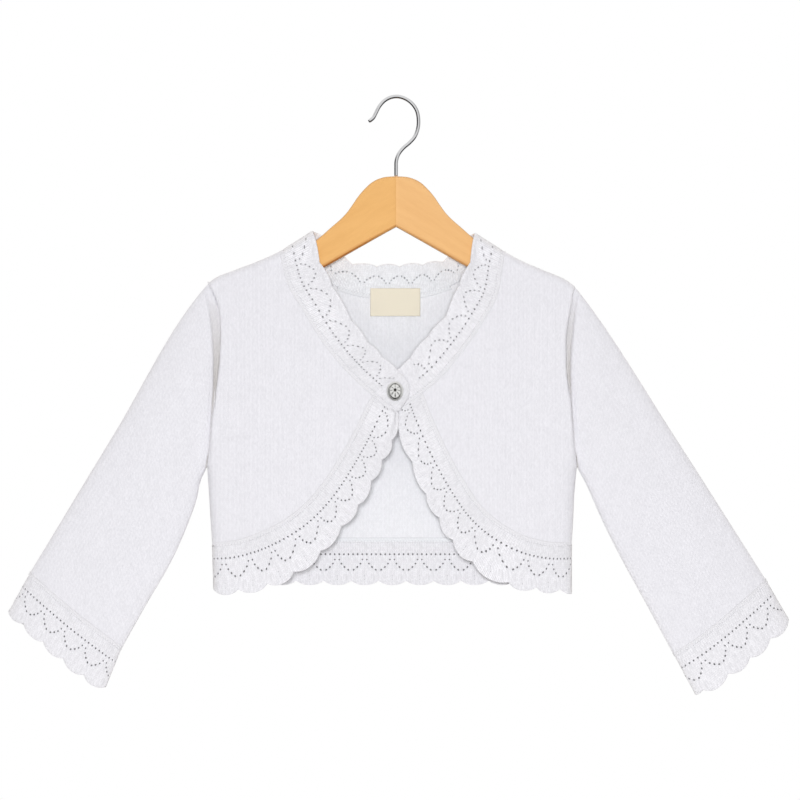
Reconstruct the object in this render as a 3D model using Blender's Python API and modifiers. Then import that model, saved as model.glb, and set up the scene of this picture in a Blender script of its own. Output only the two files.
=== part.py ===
"""A toddler's knitted bolero shrug, buttoned at the chest, on a wooden hanger.

Seen from the front, +X is to the right, +Z is up and the front faces -Y. The origin is
the inner top of the hanger's hook, where the hook hangs on its rail. All sizes below are
in millimetres; the meshes are made in metres.

The knit pieces are thin walls: a grid of points on the outer face of the cloth, and the
same grid one thickness behind it. Each grid is drawn flat, in X and Z, between the
piece's own edges, and its depth in Y comes from how the two layers wrap the hanger.
"""
import math

import bpy
import numpy as np

MM = 0.001

# ---------------------------------------------------------------- cloth and seams
WALL = 1.4                  # knit fabric
SEAM_GAP = 0.3              # between two pieces along a seam
EDGE_STEP = 0.2             # armhole and side edges stand back this far from their seam
FOLD_HALF_GAP = 0.25        # front and back stand this far from the middle plane
LAP_FRONT, LAP_BACK = 1.1, 1.0   # the left front lies over the right one at the button
LAP_CENTRE, LAP_REACH = -1.9, 32.0
ROUND_POWER = 2.6           # squareness of every rolled edge of the cloth
SHOULDER_ROLL = 7.0         # height of the roll over the hanger
ARMHOLE_ROLL, SIDE_ROLL = 8.0, 16.0
ROLL_CHANGE = 32.0          # height over which one becomes the other, above the underarm
ARMHOLE_DEPTH = 6.0         # the armhole seam lies this far from the middle plane
UNDERARM_Z, UNDERARM_ROLL = -294.9, 12.0

# Distance from the middle plane to the outer face of each layer, by height.
DEPTH = {                   # z, depth
    "front": [(-105, 8.0), (-150, 8.6), (-190, 11.6), (-225, 12.5), (-300, 12.9),
              (-395, 11.5)],
    "back": [(-105, 8.0), (-130, 9.0), (-185, 9.0), (-250, 10.5), (-300, 11.5),
             (-395, 11.0)],
}

# ---------------------------------------------------------------- outlines, x and z
SHOULDER = {                # from the neck point down to the shoulder tip
    "left": [(-68.2, -105.8), (-79.4, -113.3), (-91.4, -120.9), (-109.0, -129.3),
             (-129.8, -137.3), (-147.0, -144.6), (-151.2, -147.9)],
    "right": [(62.5, -107.4), (71.8, -113.3), (83.8, -121.3), (98.2, -129.3),
              (116.6, -137.3), (136.0, -145.9), (142.2, -150.6)],
}
ARMHOLE = {                 # from the shoulder tip down to the underarm
    "left": [(-151.2, -147.9), (-145.2, -161.0), (-142.6, -185.3), (-143.8, -204.5),
             (-147.0, -241.3), (-149.8, -273.3), (-152.2, -294.9)],
    "right": [(142.2, -150.6), (136.6, -162.5), (134.2, -185.3), (135.4, -204.5),
              (138.6, -241.3), (141.4, -273.3), (143.8, -294.9)],
}
SIDE = {                    # from the underarm down to the lower edge of the lace
    "left": [(-152.2, -294.9), (-150.9, -315.0), (-149.4, -340.0), (-148.2, -357.5),
             (-147.4, -394.9)],
    "right": [(143.8, -294.9), (142.0, -315.0), (140.8, -340.0), (139.8, -357.2),
              (139.6, -394.9)],
}
NECK_RISE, NECK_REACH = 0.6, 60.0    # the shoulder line's slope and run past the neck
NECK_SEAM = {               # where the neck lace joins the front, down to the tip
    "left": [(-91.4, -120.9), (-88.6, -135.0), (-85.0, -148.0), (-74.6, -165.9),
             (-55.4, -196.6), (-36.5, -218.8), (-16.4, -237.6)],
    "right": [(83.8, -121.3), (81.2, -135.0), (77.0, -158.1), (66.2, -177.7),
              (46.2, -206.1), (30.0, -224.5), (17.4, -234.9)],
}
NECK_END = {                # the neck lace's seam edge ends here, at its button tab
    "left": (1.0, -251.1),
    "right": (-4.2, -250.1),
}
TAB_STEPS = (0.33, 0.66, 1)
LOWER_SEAM = {              # where the lower lace joins the front, from tip to side
    "left": [(-16.4, -237.6), (-22.0, -247.0), (-28.8, -261.0), (-44.6, -289.6),
             (-59.0, -311.3), (-79.0, -332.0), (-107.2, -348.5), (-130.0, -355.9),
             (-148.2, -357.5)],
    "right": [(17.4, -234.9), (21.4, -246.1), (29.8, -266.1), (51.4, -307.4),
              (66.6, -329.0), (84.6, -343.8), (104.6, -353.4), (122.0, -357.0),
              (139.8, -357.2)],
}
BACK_NECK_SEAM = [(-91.4, -120.9), (-70.0, -137.0), (-49.0, -150.6), (-27.0, -156.3),
                  (-1.8, -157.0), (22.0, -156.0), (44.0, -149.6), (64.0, -137.0),
                  (83.8, -121.3)]
HEM_SEAM_Z = -354.6

# The lace edges, a row for each notch between two scallops: x, z, and the share of the
# seam's length that lies behind it.
NECK_LACE = {
    "left": [(-68.2, -105.8, 0.0), (-61.9, -131.5, 0.12), (-52.2, -150.1, 0.27),
             (-36.9, -177.4, 0.48), (-23.4, -195.3, 0.62), (-12.2, -206.8, 0.72),
             (1.6, -219.9, 0.84), (6.6, -224.5, 0.90), (9.4, -231.4, 0.95),
             (9.0, -239.7, 1.0)],
    "right": [(62.5, -107.4, 0.0), (58.2, -131.5, 0.12), (49.7, -149.9, 0.27),
              (38.6, -174.6, 0.47), (24.5, -190.9, 0.62), (9.9, -208.2, 0.76),
              (1.8, -216.0, 0.84), (-5.4, -220.5, 0.90), (-10.6, -227.7, 0.95),
              (-11.8, -238.1, 1.0)],
}
LOWER_LACE = {
    "left": [(1.2, -251.4, 0.0), (-4.2, -273.3, 0.13), (-12.1, -289.0, 0.22),
             (-20.6, -305.5, 0.31), (-31.0, -324.5, 0.41), (-44.5, -341.7, 0.52),
             (-61.0, -361.3, 0.63), (-82.3, -378.2, 0.74), (-103.4, -387.8, 0.82),
             (-126.5, -392.3, 0.905), (-147.4, -392.8, 1.0)],
    "right": [(-4.4, -250.4, 0.0), (1.0, -264.5, 0.08), (11.9, -290.2, 0.25),
              (22.9, -315.9, 0.38), (33.4, -334.9, 0.48), (44.2, -352.5, 0.57),
              (59.8, -369.8, 0.67), (88.6, -386.6, 0.79), (110.9, -390.8, 0.88),
              (129.7, -392.0, 0.96), (139.6, -392.4, 1.0)],
}
BACK_NECK_LACE = [(-68.2, -105.8, 0.0), (-53.0, -119.7, 0.15), (-36.2, -132.2, 0.30),
                  (-16.4, -134.2, 0.43), (2.0, -134.2, 0.525), (20.2, -133.0, 0.62),
                  (36.6, -130.4, 0.715), (50.2, -119.7, 0.85), (62.5, -107.4, 1.0)]
HEM_SCALLOPS, HEM_LACE_DEPTH = 13, 32.0
CUFF_SCALLOPS, CUFF_LACE_DEPTH = 10, {"left": 32.5, "right": 36.5}
SCALLOP_HEIGHT = {"neck": 1.4, "body": 3.4, "back_neck": 2.2}

# ---------------------------------------------------------------- sleeves
SLEEVE_OUTER = {            # fold of the upper arm, from the shoulder tip to the cuff seam
    "left": [(-151.2, -147.9), (-157.6, -155.6), (-225.9, -267.3), (-294.2, -380.1)],
    "right": [(142.2, -150.6), (148.8, -159.2), (222.0, -270.6), (295.8, -386.6)],
}
SLEEVE_INNER = {            # fold of the under arm, from the underarm to the cuff seam
    "left": [(-152.2, -294.9), (-157.0, -305.3), (-160.6, -321.3), (-166.2, -337.3),
             (-180.2, -369.3), (-198.6, -401.3), (-219.3, -438.1)],
    "right": [(143.8, -294.9), (149.4, -305.3), (163.8, -337.3), (179.8, -369.3),
              (197.4, -401.3), (221.6, -445.9)],
}
CUFF_CORNERS = {            # outer and inner corner of the lace at the wrist
    "left": ((-310.4, -408.1), (-236.0, -469.0)),
    "right": ((313.8, -417.4), (238.4, -477.6)),
}
SLEEVE_RINGS = [            # share of the outer fold, share of the inner fold, depth
    (0.000, 0.000, 6.0), (0.017, 0.003, 7.8), (0.042, 0.007, 9.2), (0.080, 0.012, 10.2),
    (0.140, 0.022, 10.6), (0.230, 0.035, 10.8), (0.330, 0.047, 10.8),
    (0.430, 0.075, 10.6), (0.530, 0.220, 10.2), (0.630, 0.380, 10.0),
    (0.740, 0.560, 9.8), (0.860, 0.760, 9.6), (1.000, 1.000, 9.4),
]
ARMHOLE_FADE = 0.35         # the armhole's curve has left the sleeve by this share
SEAM_FADE = 0.14            # and the seam's own depth by this one

# ---------------------------------------------------------------- grid stations
ACROSS = [0, 0.004, 0.022, 0.06, 0.12, 0.22, 0.35, 0.5, 0.65, 0.78, 0.88, 0.94, 0.978,
          0.996, 1]         # shoulder tip to underarm, and upper to lower sleeve fold
ARMHOLE_SHARE = 0.7         # of the front's height at the side
BELOW_UNDERARM = [0.8, 0.9, 1.0]
FROM_SIDE = [0, 0.002, 0.015, 0.04, 0.085, 0.15, 0.25, 0.37, 0.5, 0.64, 0.79, 1]
BACK_SHOULDER = [0, 0.006, 0.045, 0.12, 0.27, 0.5, 0.75, 1]
BACK_NECK = [0, 0.004, 0.02, 0.055, 0.13, 0.26, 0.4, 0.5, 0.6, 0.74, 0.87, 0.945, 0.98,
             0.996, 1]
SCALLOP_STATIONS = [0.0, 0.12, 0.37, 0.63, 0.88]
SHOULDER_SHARES = [0.0018, 0.009, 0.03]
SIDE_SHARES = [0.0016, 0.008]
LACE_ROWS = [0.0, 0.5, 1.0]
ROWS_BY_A_SEAM = 3          # rows of points whose backs are kept from crossing it
LEAST_STEP = 0.5            # a curve's points this near an added end point are left out

# ---------------------------------------------------------------- hanger and trims
WOOD_THICKNESS, WOOD_ROUNDING = 12.0, 1.8
WOOD_CENTRE = -0.9
WOOD_JOINT_GAP = 0.3
WOOD_TOP = [(0.0, -62.5), (10.6, -63.5), (18.8, -67.0), (25.3, -72.8), (30.2, -78.5),
            (35.2, -85.8), (40.1, -92.4), (44.9, -97.3), (51.5, -103.0), (59.7, -110.3),
            (70.0, -118.6)]          # distance from the centre joint, and z
WOOD_HIDDEN_FROM, WOOD_REACH = 90.0, 137.0
WOOD_UNDER_SHOULDER = 2.8
WOOD_TIP = [(1.2, -5.0), (0.8, -10.0)]      # past the reach, and below its top edge
WOOD_BOTTOM = [(134.0, -160.5), (124.0, -164.5), (112.0, -163.5), (98.0, -156.8),
               (0.0, -103.0)]
WOOD_CORNER = math.radians(60)   # edges sharper than this are rounded over
HOOK_WIRE, HOOK_POINTS = 3.0, 48
HOOK_ROUTE = [(-22.9, -18.6), (-19.2, -15.6), (-17.0, -11.6), (-14.6, -6.9),
              (-10.4, -2.0), (-5.2, 0.8), (0.0, 1.5), (6.4, -0.2), (11.9, -4.2),
              (15.6, -9.8), (17.0, -17.1), (16.4, -24.6), (13.9, -30.8), (9.7, -35.6),
              (4.8, -39.8), (1.2, -44.4), (-0.7, -50.0), (-0.9, -56.0), (-0.9, -62.2)]
BUTTON_CENTRE = (-1.8, -233.3)
BUTTON_RADIUS, BUTTON_HEIGHT = 6.4, 2.8
BUTTON_PROFILE = [          # from the face's centre to the back's: radius and height shares
    (0.0, 1.0), (0.30, 0.97), (0.60, 0.84), (0.76, 0.70), (0.82, 0.90), (0.90, 0.98),
    (0.97, 0.88), (1.0, 0.62), (0.97, 0.30), (0.80, 0.08), (0.0, 0.0)]
LABEL_CENTRE, LABEL_SIZE, LABEL_WALL = (-0.8, -163.4), (39.6, 22.8), 1.0


# ================================================================ curves and depths
def smooth(table, steps=24):
    """A dense smooth curve through the rows of a table, its slopes taken by distance."""
    rows = np.array(table, dtype=float)
    if len(rows) == 2:
        return rows
    reach = np.linalg.norm(np.diff(rows, axis=0), axis=1)
    slopes = np.gradient(rows, np.concatenate([[0], np.cumsum(reach)]), axis=0)
    t = np.linspace(0, 1, steps, endpoint=False)[:, None]
    pieces = [(2 * t**3 - 3 * t**2 + 1) * a + (t**3 - 2 * t**2 + t) * h * sa
              + (3 * t**2 - 2 * t**3) * b + (t**3 - t**2) * h * sb
              for a, b, sa, sb, h in zip(rows, rows[1:], slopes, slopes[1:], reach)]
    return np.vstack(pieces + [rows[-1:]])


def at(line, shares):
    """Points of a polyline at the given shares of its length."""
    line = np.array(line, dtype=float)
    steps = np.linalg.norm(np.diff(line, axis=0), axis=1)
    length = np.concatenate([[0], np.cumsum(steps)])
    wanted = np.asarray(shares, dtype=float) * length[-1]
    return np.stack([np.interp(wanted, length, column) for column in line.T], axis=-1)


def at_flat(rail, shares):
    """Points of an x, y, z polyline at shares of its length as drawn flat in x and z."""
    steps = np.linalg.norm(np.diff(rail[:, [0, 2]], axis=0), axis=1)
    length = np.concatenate([[0], np.cumsum(steps)])
    wanted = np.asarray(shares) * length[-1]
    return np.stack([np.interp(wanted, length, column) for column in rail.T], axis=-1)


def rolled(t):
    """Rise of a rolled edge: 0 at the edge, 1 where the cloth is flat."""
    t = np.clip(t, 0, 1)
    return (1 - (1 - t) ** ROUND_POWER) ** (1 / ROUND_POWER)


def eased(t):
    t = np.clip(t, 0, 1)
    return t * t * (3 - 2 * t)


def by_height(rows, z):
    table = sorted(rows)
    return np.interp(z, [row[0] for row in table], [row[1] for row in table])


def shoulder_z(x):
    """Height of the shoulder line, which runs on upwards past the neck point."""
    left, right = smooth(SHOULDER["left"]), smooth(SHOULDER["right"])
    over = NECK_REACH * NECK_RISE
    line = np.vstack([left[::-1], [(left[0][0] + NECK_REACH, left[0][1] + over)],
                      [(right[0][0] - NECK_REACH, right[0][1] + over)], right])
    return np.interp(x, line[:, 0], line[:, 1])


def side_x(side, z):
    """The armhole and side seam's distance out, by height."""
    line = np.vstack([smooth(ARMHOLE[side]), smooth(SIDE[side])])
    return np.interp(z, line[::-1, 1], line[::-1, 0])


def depth(layer, x, z):
    """Distance of a layer's outer face from the middle plane."""
    x, z = np.asarray(x, dtype=float), np.asarray(z, dtype=float)
    from_side = np.minimum(x - side_x("left", z), side_x("right", z) - x) - EDGE_STEP
    above = z - UNDERARM_Z
    roll = SIDE_ROLL + (ARMHOLE_ROLL - SIDE_ROLL) * eased(above / ROLL_CHANGE)
    edge = ARMHOLE_DEPTH * rolled(above / UNDERARM_ROLL)
    full = by_height(DEPTH[layer], z)
    flat = edge + (full - edge) * rolled(from_side / roll)
    return FOLD_HALF_GAP + flat * rolled((shoulder_z(x) - z) / SHOULDER_ROLL)


def front_y(side, x, z):
    lap = np.exp(-((np.asarray(x) - LAP_CENTRE) / LAP_REACH) ** 2)
    shift = -LAP_FRONT * lap if side == "left" else LAP_BACK * lap
    return -depth("front", x, z) + shift


def back_y(x, z):
    return depth("back", x, z)


def coons_grid(a, b, c, d, across, down):
    """Flat grid between its top, bottom, first and last edges, at shares of them."""
    u = np.asarray(across)[:, None, None]
    v = np.asarray(down)[None, :, None]
    ruled = (1 - v) * a[:, None] + v * b[:, None] + (1 - u) * c[None] + u * d[None]
    corners = ((1 - u) * (1 - v) * a[0] + u * (1 - v) * a[-1]
               + (1 - u) * v * b[0] + u * v * b[-1])
    return ruled - corners


def raised(flat, y):
    """Flat x, z points with their depth y, as x, y, z."""
    return np.stack([flat[..., 0], y, flat[..., 1]], axis=-1)


# ================================================================ Blender objects
def clear_scene():
    for thing in list(bpy.data.objects):
        bpy.data.objects.remove(thing, do_unlink=True)


def new_material(name, colour, roughness, metallic=0.0):
    material = bpy.data.materials.new(name)
    material.use_nodes = True
    shader = material.node_tree.nodes["Principled BSDF"]
    shader.inputs["Base Color"].default_value = (*colour, 1.0)
    shader.inputs["Roughness"].default_value = roughness
    shader.inputs["Metallic"].default_value = metallic
    return material


def add_object(name, data, material):
    thing = bpy.data.objects.new(name, data)
    thing.data.materials.append(material)
    bpy.data.collections["knitted_shrug"].objects.link(thing)
    return thing


def unit(vectors):
    return vectors / np.linalg.norm(vectors, axis=-1, keepdims=True)


def bisectors(points, closed=False):
    """Directions of a line of points, halfway between the steps on either side."""
    steps = unit(np.diff(points, axis=0))
    if closed:
        last = unit(points[:1] - points[-1:])
        return unit(np.concatenate([last, steps]) + np.concatenate([steps, last]))
    return unit(np.concatenate([steps[:1], steps]) + np.concatenate([steps, steps[-1:]]))


def away(edge, neighbour, closed):
    """Flat directions square to an edge, pointing off the piece and over the seam."""
    flat = edge * (1, 0, 1)
    if closed:
        half = len(flat) // 2 + 1
        along = bisectors(flat[:half])
        along = np.vstack([along, along[-2:0:-1]])
    else:
        along = bisectors(flat)
    square = along[:, ::-1] * (1, 0, -1)
    inward_side = np.sum(square * (neighbour - edge), axis=1, keepdims=True) > 0
    return np.where(inward_side, -square, square)


def behind(grid, flip, closed):
    """The wall's inner points: square behind the outer ones, and never over a seam."""
    around = bisectors(grid, closed)
    along = bisectors(grid.transpose(1, 0, 2)).transpose(1, 0, 2)
    step = unit(np.cross(along, around)) * (-WALL if flip else WALL)
    lines = [(lambda k: np.s_[:, k]), (lambda k: np.s_[:, -1 - k])]
    if not closed:
        lines += [(lambda k: np.s_[k]), (lambda k: np.s_[-1 - k])]
    for line in lines:
        edge = grid[line(0)]
        out = away(edge, grid[line(1)], closed)
        for k in range(ROWS_BY_A_SEAM):
            room = np.sum((edge - grid[line(k)]) * out, axis=1)
            over = np.sum(step[line(k)] * out, axis=1) - np.maximum(room, 0)
            step[line(k)] -= np.maximum(over, 0)[:, None] * out
    return grid + step


def cloth(name, grid, material, flip=False, closed=False):
    """A wall of knit behind a grid of outer points; closed wraps the grid's rows."""
    rows, columns = grid.shape[:2]
    outer = np.arange(rows * columns).reshape(rows, columns)
    inner = outer + rows * columns
    if closed:
        outer, inner = (np.vstack([layer, layer[:1]]) for layer in (outer, inner))

    def squares(a, b, c, d):
        corners = np.stack([a, b, c, a, c, d], axis=-1).reshape(-1, 3)
        return corners[:, ::-1] if flip else corners

    def layer_faces(layer):
        return squares(layer[:-1, :-1], layer[1:, :-1], layer[1:, 1:], layer[:-1, 1:])

    faces = [layer_faces(outer), layer_faces(inner)[:, ::-1],
             squares(outer[1:, 0], outer[:-1, 0], inner[:-1, 0], inner[1:, 0]),
             squares(outer[:-1, -1], outer[1:, -1], inner[1:, -1], inner[:-1, -1])]
    if not closed:
        faces += [squares(outer[0, :-1], outer[0, 1:], inner[0, 1:], inner[0, :-1]),
                  squares(outer[-1, 1:], outer[-1, :-1], inner[-1, :-1], inner[-1, 1:])]
    points = np.concatenate([grid, behind(grid, flip, closed)]).reshape(-1, 3)
    mesh = bpy.data.meshes.new(name)
    mesh.from_pydata((points * MM).tolist(), [], np.vstack(faces).tolist())
    mesh.shade_smooth()
    add_object(name, mesh, material)


# ================================================================ body
def down_stations():
    return [ARMHOLE_SHARE * share for share in ACROSS] + BELOW_UNDERARM


def side_edge(side):
    """Armhole and side seam down to the lace, at the stations of the panels."""
    lower = smooth(SIDE[side])
    seam_z = LOWER_SEAM[side][-1][1]
    lower = lower[lower[:, 1] > seam_z + LEAST_STEP]
    lower = np.vstack([lower, [(side_x(side, seam_z), seam_z)]])
    armhole = at(smooth(ARMHOLE[side]), ACROSS)
    spread = [(share - ARMHOLE_SHARE) / (1 - ARMHOLE_SHARE) for share in BELOW_UNDERARM]
    return np.vstack([armhole, at(lower, spread)])


def panel_shoulder(side):
    """Shoulder seam of the panels, from the tip to the neck seam."""
    line = smooth(SHOULDER[side])
    neck_x = NECK_SEAM[side][0][0]
    kept = line[np.abs(line[:, 0]) > abs(neck_x) + LEAST_STEP]
    return np.vstack([kept[::-1], [NECK_SEAM[side][0]]])


def inward(points, side):
    """Moves an armhole or side edge in from its seam."""
    return points + [EDGE_STEP if side == "left" else -EDGE_STEP, 0]


def front_panel(side, material):
    down = down_stations()
    edge = inward(side_edge(side), side)
    top = at(panel_shoulder(side), FROM_SIDE)
    edge[0, 1] = shoulder_z(edge[0, 0])
    top[0] = edge[0]
    bottom = at(smooth(LOWER_SEAM[side])[::-1], FROM_SIDE)
    bottom[0] = edge[-1]
    neck = at(smooth(NECK_SEAM[side]), down)
    flat = coons_grid(top, bottom, edge, neck, FROM_SIDE, down)
    grid = raised(flat, front_y(side, flat[..., 0], flat[..., 1]))
    cloth("front_" + side, grid, material, flip=side == "left")
    return {"neck": grid[-1], "lower": grid[::-1, -1]}


def back_panel(material):
    shoulder = {side: at(panel_shoulder(side), BACK_SHOULDER) for side in SHOULDER}
    neck = at(smooth(BACK_NECK_SEAM), BACK_NECK)
    edges = {side: inward(side_edge(side), side) for side in SHOULDER}
    for side in SHOULDER:
        edges[side][0, 1] = shoulder_z(edges[side][0, 0])
        shoulder[side][0] = edges[side][0]
        edges[side][-1, 1] = HEM_SEAM_Z
    top = np.vstack([shoulder["left"], neck[1:-1], shoulder["right"][::-1]])
    low_left, low_right = edges["left"][-1], edges["right"][-1]
    width = low_right[0] - low_left[0]
    across = (top[:, 0] - top[0, 0]) / (top[-1, 0] - top[0, 0])
    bottom = np.stack([low_left[0] + width * across, np.full(len(top), HEM_SEAM_Z)], -1)
    flat = coons_grid(top, bottom, edges["left"], edges["right"], across,
                      down_stations())
    grid = raised(flat, back_y(flat[..., 0], flat[..., 1]))
    cloth("back", grid, material)
    first, last = len(BACK_SHOULDER) - 1, len(BACK_SHOULDER) + len(BACK_NECK) - 2
    return {"neck": grid[first:last + 1, 0], "hem": grid[:, -1]}


# ================================================================ sleeves
def sleeve(side, material):
    """A flattened tube: its first ring is the armhole, its last the cuff seam."""
    share = np.array(ACROSS)[:, None]
    armhole = at(smooth(ARMHOLE[side]), ACROSS)
    armhole = 2 * armhole - inward(armhole, side)
    bulge = armhole - (armhole[0] * (1 - share) + armhole[-1] * share)
    outer, inner = smooth(SLEEVE_OUTER[side]), smooth(SLEEVE_INNER[side])
    squash = rolled(1 - np.abs(2 * np.array(ACROSS) - 1))
    seam_depth = depth("front", armhole[:, 0], armhole[:, 1])
    seam_depth[[0, -1]] = 0
    rings = []
    for outer_share, inner_share, full in SLEEVE_RINGS:
        upper = armhole[0] + at(outer, [outer_share])[0] - outer[0]
        lower = armhole[-1] + at(inner, [inner_share])[0] - inner[0]
        fade = 1 - eased(outer_share / ARMHOLE_FADE)
        flat = upper * (1 - share) + lower * share + bulge * fade
        free = np.sqrt(eased(outer_share / SEAM_FADE))
        y = seam_depth * (1 - free) + squash * full * free
        front, back = raised(flat, -y), raised(flat, y)
        rings.append(np.vstack([front, back[-2:0:-1]]))
    grid = np.stack(rings, axis=1)
    cloth("sleeve_" + side, grid, material, flip=side == "left", closed=True)
    return grid[:, -1]


def cuff_lace(side, wrist, material):
    """The scalloped end of the sleeve, a tube in line with it."""
    shares = np.array(ACROSS + ACROSS[-2:0:-1])[:, None]
    upper, lower = (np.array(corner) for corner in CUFF_CORNERS[side])
    end = upper * (1 - shares) + lower * shares
    end = np.stack([end[:, 0], wrist[:, 1], end[:, 1]], axis=-1)
    reach = end - wrist
    length = np.linalg.norm(reach, axis=1, keepdims=True)
    start = wrist + reach / length * SEAM_GAP
    end = wrist + reach / length * (length + CUFF_LACE_DEPTH[side]) / 2
    around = [(i + step) / CUFF_SCALLOPS for i in range(CUFF_SCALLOPS)
              for step in SCALLOP_STATIONS]
    loop_start, loop_end = (np.vstack([ring, ring[:1]]) for ring in (start, end))
    first, last = at(loop_start, around), at(loop_end, around)
    lift = np.array([scallop(i % len(SCALLOP_STATIONS)) for i in range(len(around))])
    axis = (last - first) / np.linalg.norm(last - first, axis=1, keepdims=True)
    rows = [first + (last - first) * row for row in LACE_ROWS]
    rows[-1] = rows[-1] + axis * (lift * SCALLOP_HEIGHT["body"])[:, None]
    cloth("lace_cuff_" + side, np.stack(rows, axis=1), material, flip=side == "left",
          closed=True)


def scallop(station):
    """Height of a scallop at one of its stations, from 0 at the notch to 1."""
    step = SCALLOP_STATIONS[station]
    return math.sqrt(max(0.0, 1 - (2 * step - 1) ** 2))


# ================================================================ flat lace bands
def band(name, rail, edge, y_of, height, material, extra=(), flip=False):
    """A lace strip from a panel's edge points (rail) out to a scalloped edge."""
    lifts, marks = [], []
    for i in range(len(edge) - 1):
        for k, step in enumerate(SCALLOP_STATIONS):
            marks.append(i + step)
            lifts.append(scallop(k))
    marks.append(len(edge) - 1)
    lifts.append(0.0)
    edge = np.array(edge)
    shares = np.interp(marks, range(len(edge)), edge[:, 2])
    wanted = np.unique(np.concatenate([shares, extra]))
    lifts = np.interp(wanted, shares, lifts)
    marks = np.interp(wanted, shares, marks)
    seam = at_flat(rail, wanted)
    fine = smooth(edge[:, :2])
    outer = np.stack([np.interp(marks, np.linspace(0, len(edge) - 1, len(fine)), column)
                      for column in fine.T], axis=-1)
    inner = seam[:, [0, 2]]
    way = outer - inner
    length = np.linalg.norm(way, axis=1, keepdims=True)
    way = way / length
    rows = [raised(inner + way * SEAM_GAP, seam[:, 1])]
    for row in LACE_ROWS[1:]:
        lift = lifts[:, None] * height if row == 1 else 0
        flat = inner + way * (length * row + lift)
        rows.append(raised(flat, y_of(flat[:, 0], flat[:, 1])))
    cloth(name, np.stack(rows, axis=1), material, flip=flip)


def neck_rail(side, panel_edge):
    """The front's neck seam, carried on past its tip along the button tab."""
    tip = panel_edge[-1][[0, 2]]
    tail = np.array([tip * (1 - t) + np.array(NECK_END[side]) * t for t in TAB_STEPS])
    return np.vstack([panel_edge, raised(tail, front_y(side, tail[:, 0], tail[:, 1]))])


def lace_bands(fronts, back, material):
    for side in SHOULDER:
        def layer(x, z, side=side):
            return front_y(side, x, z)
        band("lace_neck_" + side, neck_rail(side, fronts[side]["neck"]),
             NECK_LACE[side], layer, SCALLOP_HEIGHT["neck"], material,
             extra=SHOULDER_SHARES, flip=side == "right")
        band("lace_front_" + side, fronts[side]["lower"], LOWER_LACE[side], layer,
             SCALLOP_HEIGHT["body"], material, extra=[1 - s for s in SIDE_SHARES],
             flip=side == "right")
    ends = SHOULDER_SHARES + [1 - share for share in SHOULDER_SHARES]
    band("lace_neck_back", back["neck"], BACK_NECK_LACE, back_y,
         SCALLOP_HEIGHT["back_neck"], material, extra=ends, flip=True)
    notches = np.linspace(0, 1, HEM_SCALLOPS + 1)
    hem = back["hem"]
    across = at_flat(hem, notches)[:, 0]
    low = HEM_SEAM_Z - HEM_LACE_DEPTH
    across[0], across[-1] = (float(inward(np.array([side_x(side, low), low]), side)[0])
                             for side in SHOULDER)
    edge = [(x, low, share) for x, share in zip(across, notches)]
    ends = [share / 2 for share in SIDE_SHARES]
    band("lace_hem_back", hem, edge, back_y, SCALLOP_HEIGHT["body"], material,
         extra=ends + [1 - share for share in ends])


# ================================================================ hanger, button, label
def hanger_arm(side, material):
    """Half of the wishbone, sawn flat and rounded over along its edges."""
    sign = -1 if side == "left" else 1
    top = [(WOOD_CENTRE + sign * out, z) for out, z in WOOD_TOP]
    top[0] = (WOOD_CENTRE + sign * WOOD_JOINT_GAP / 2, WOOD_TOP[0][1])
    hidden = np.linspace(WOOD_HIDDEN_FROM, WOOD_REACH, 6)
    under = [(WOOD_CENTRE + sign * out,
              float(shoulder_z(WOOD_CENTRE + sign * out)) - WOOD_UNDER_SHOULDER)
             for out in hidden]
    bottom = [(WOOD_CENTRE + sign * out, z) for out, z in WOOD_BOTTOM]
    bottom[-1] = (top[0][0], WOOD_BOTTOM[-1][1])
    end = [(WOOD_CENTRE + sign * (WOOD_REACH + past), under[-1][1] + drop)
           for past, drop in WOOD_TIP]
    outline = top + under + end + bottom
    curve = bpy.data.curves.new("hanger_arm_" + side, "CURVE")
    curve.dimensions = "2D"
    curve.fill_mode = "BOTH"
    curve.extrude = WOOD_THICKNESS / 2 * MM
    line = curve.splines.new("POLY")
    line.points.add(len(outline) - 1)
    for point, (x, z) in zip(line.points, outline):
        point.co = (x * MM, z * MM, 0, 1)
    line.use_cyclic_u = True
    thing = add_object("hanger_arm_" + side, curve, material)
    thing.rotation_euler = (math.pi / 2, 0, 0)
    weld = thing.modifiers.new("Weld", "WELD")
    weld.merge_threshold = 0.00001
    edges = thing.modifiers.new("Rounded edges", "BEVEL")
    edges.width = WOOD_ROUNDING * MM
    edges.segments = 2
    edges.limit_method = "ANGLE"
    edges.angle_limit = WOOD_CORNER


def hook(material):
    route = at(smooth(HOOK_ROUTE), np.linspace(0, 1, HOOK_POINTS))
    curve = bpy.data.curves.new("hook", "CURVE")
    curve.dimensions = "3D"
    curve.bevel_depth = HOOK_WIRE / 2 * MM
    curve.bevel_resolution = 2
    curve.use_fill_caps = True
    line = curve.splines.new("POLY")
    line.points.add(len(route) - 1)
    for point, (x, z) in zip(line.points, route):
        point.co = (x * MM, 0, z * MM, 1)
    add_object("hook", curve, material)


def button(material):
    """A turned shank button: a raised rim round a shallow domed face."""
    mesh = bpy.data.meshes.new("button")
    points = [(r * BUTTON_RADIUS * MM, 0, h * BUTTON_HEIGHT * MM)
              for r, h in BUTTON_PROFILE]
    edges = [(i, i + 1) for i in range(len(points) - 1)]
    mesh.from_pydata(points, edges, [])
    thing = add_object("button", mesh, material)
    x, z = BUTTON_CENTRE
    surface = float(front_y("left", x, z))
    thing.location = (x * MM, (surface - SEAM_GAP) * MM, z * MM)
    thing.rotation_euler = (math.pi / 2, 0, 0)
    turn = thing.modifiers.new("Turned", "SCREW")
    turn.steps = turn.render_steps = 24
    turn.screw_offset = 0
    turn.use_merge_vertices = True
    turn.merge_threshold = 0.00001
    turn.use_smooth_shade = True


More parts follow.
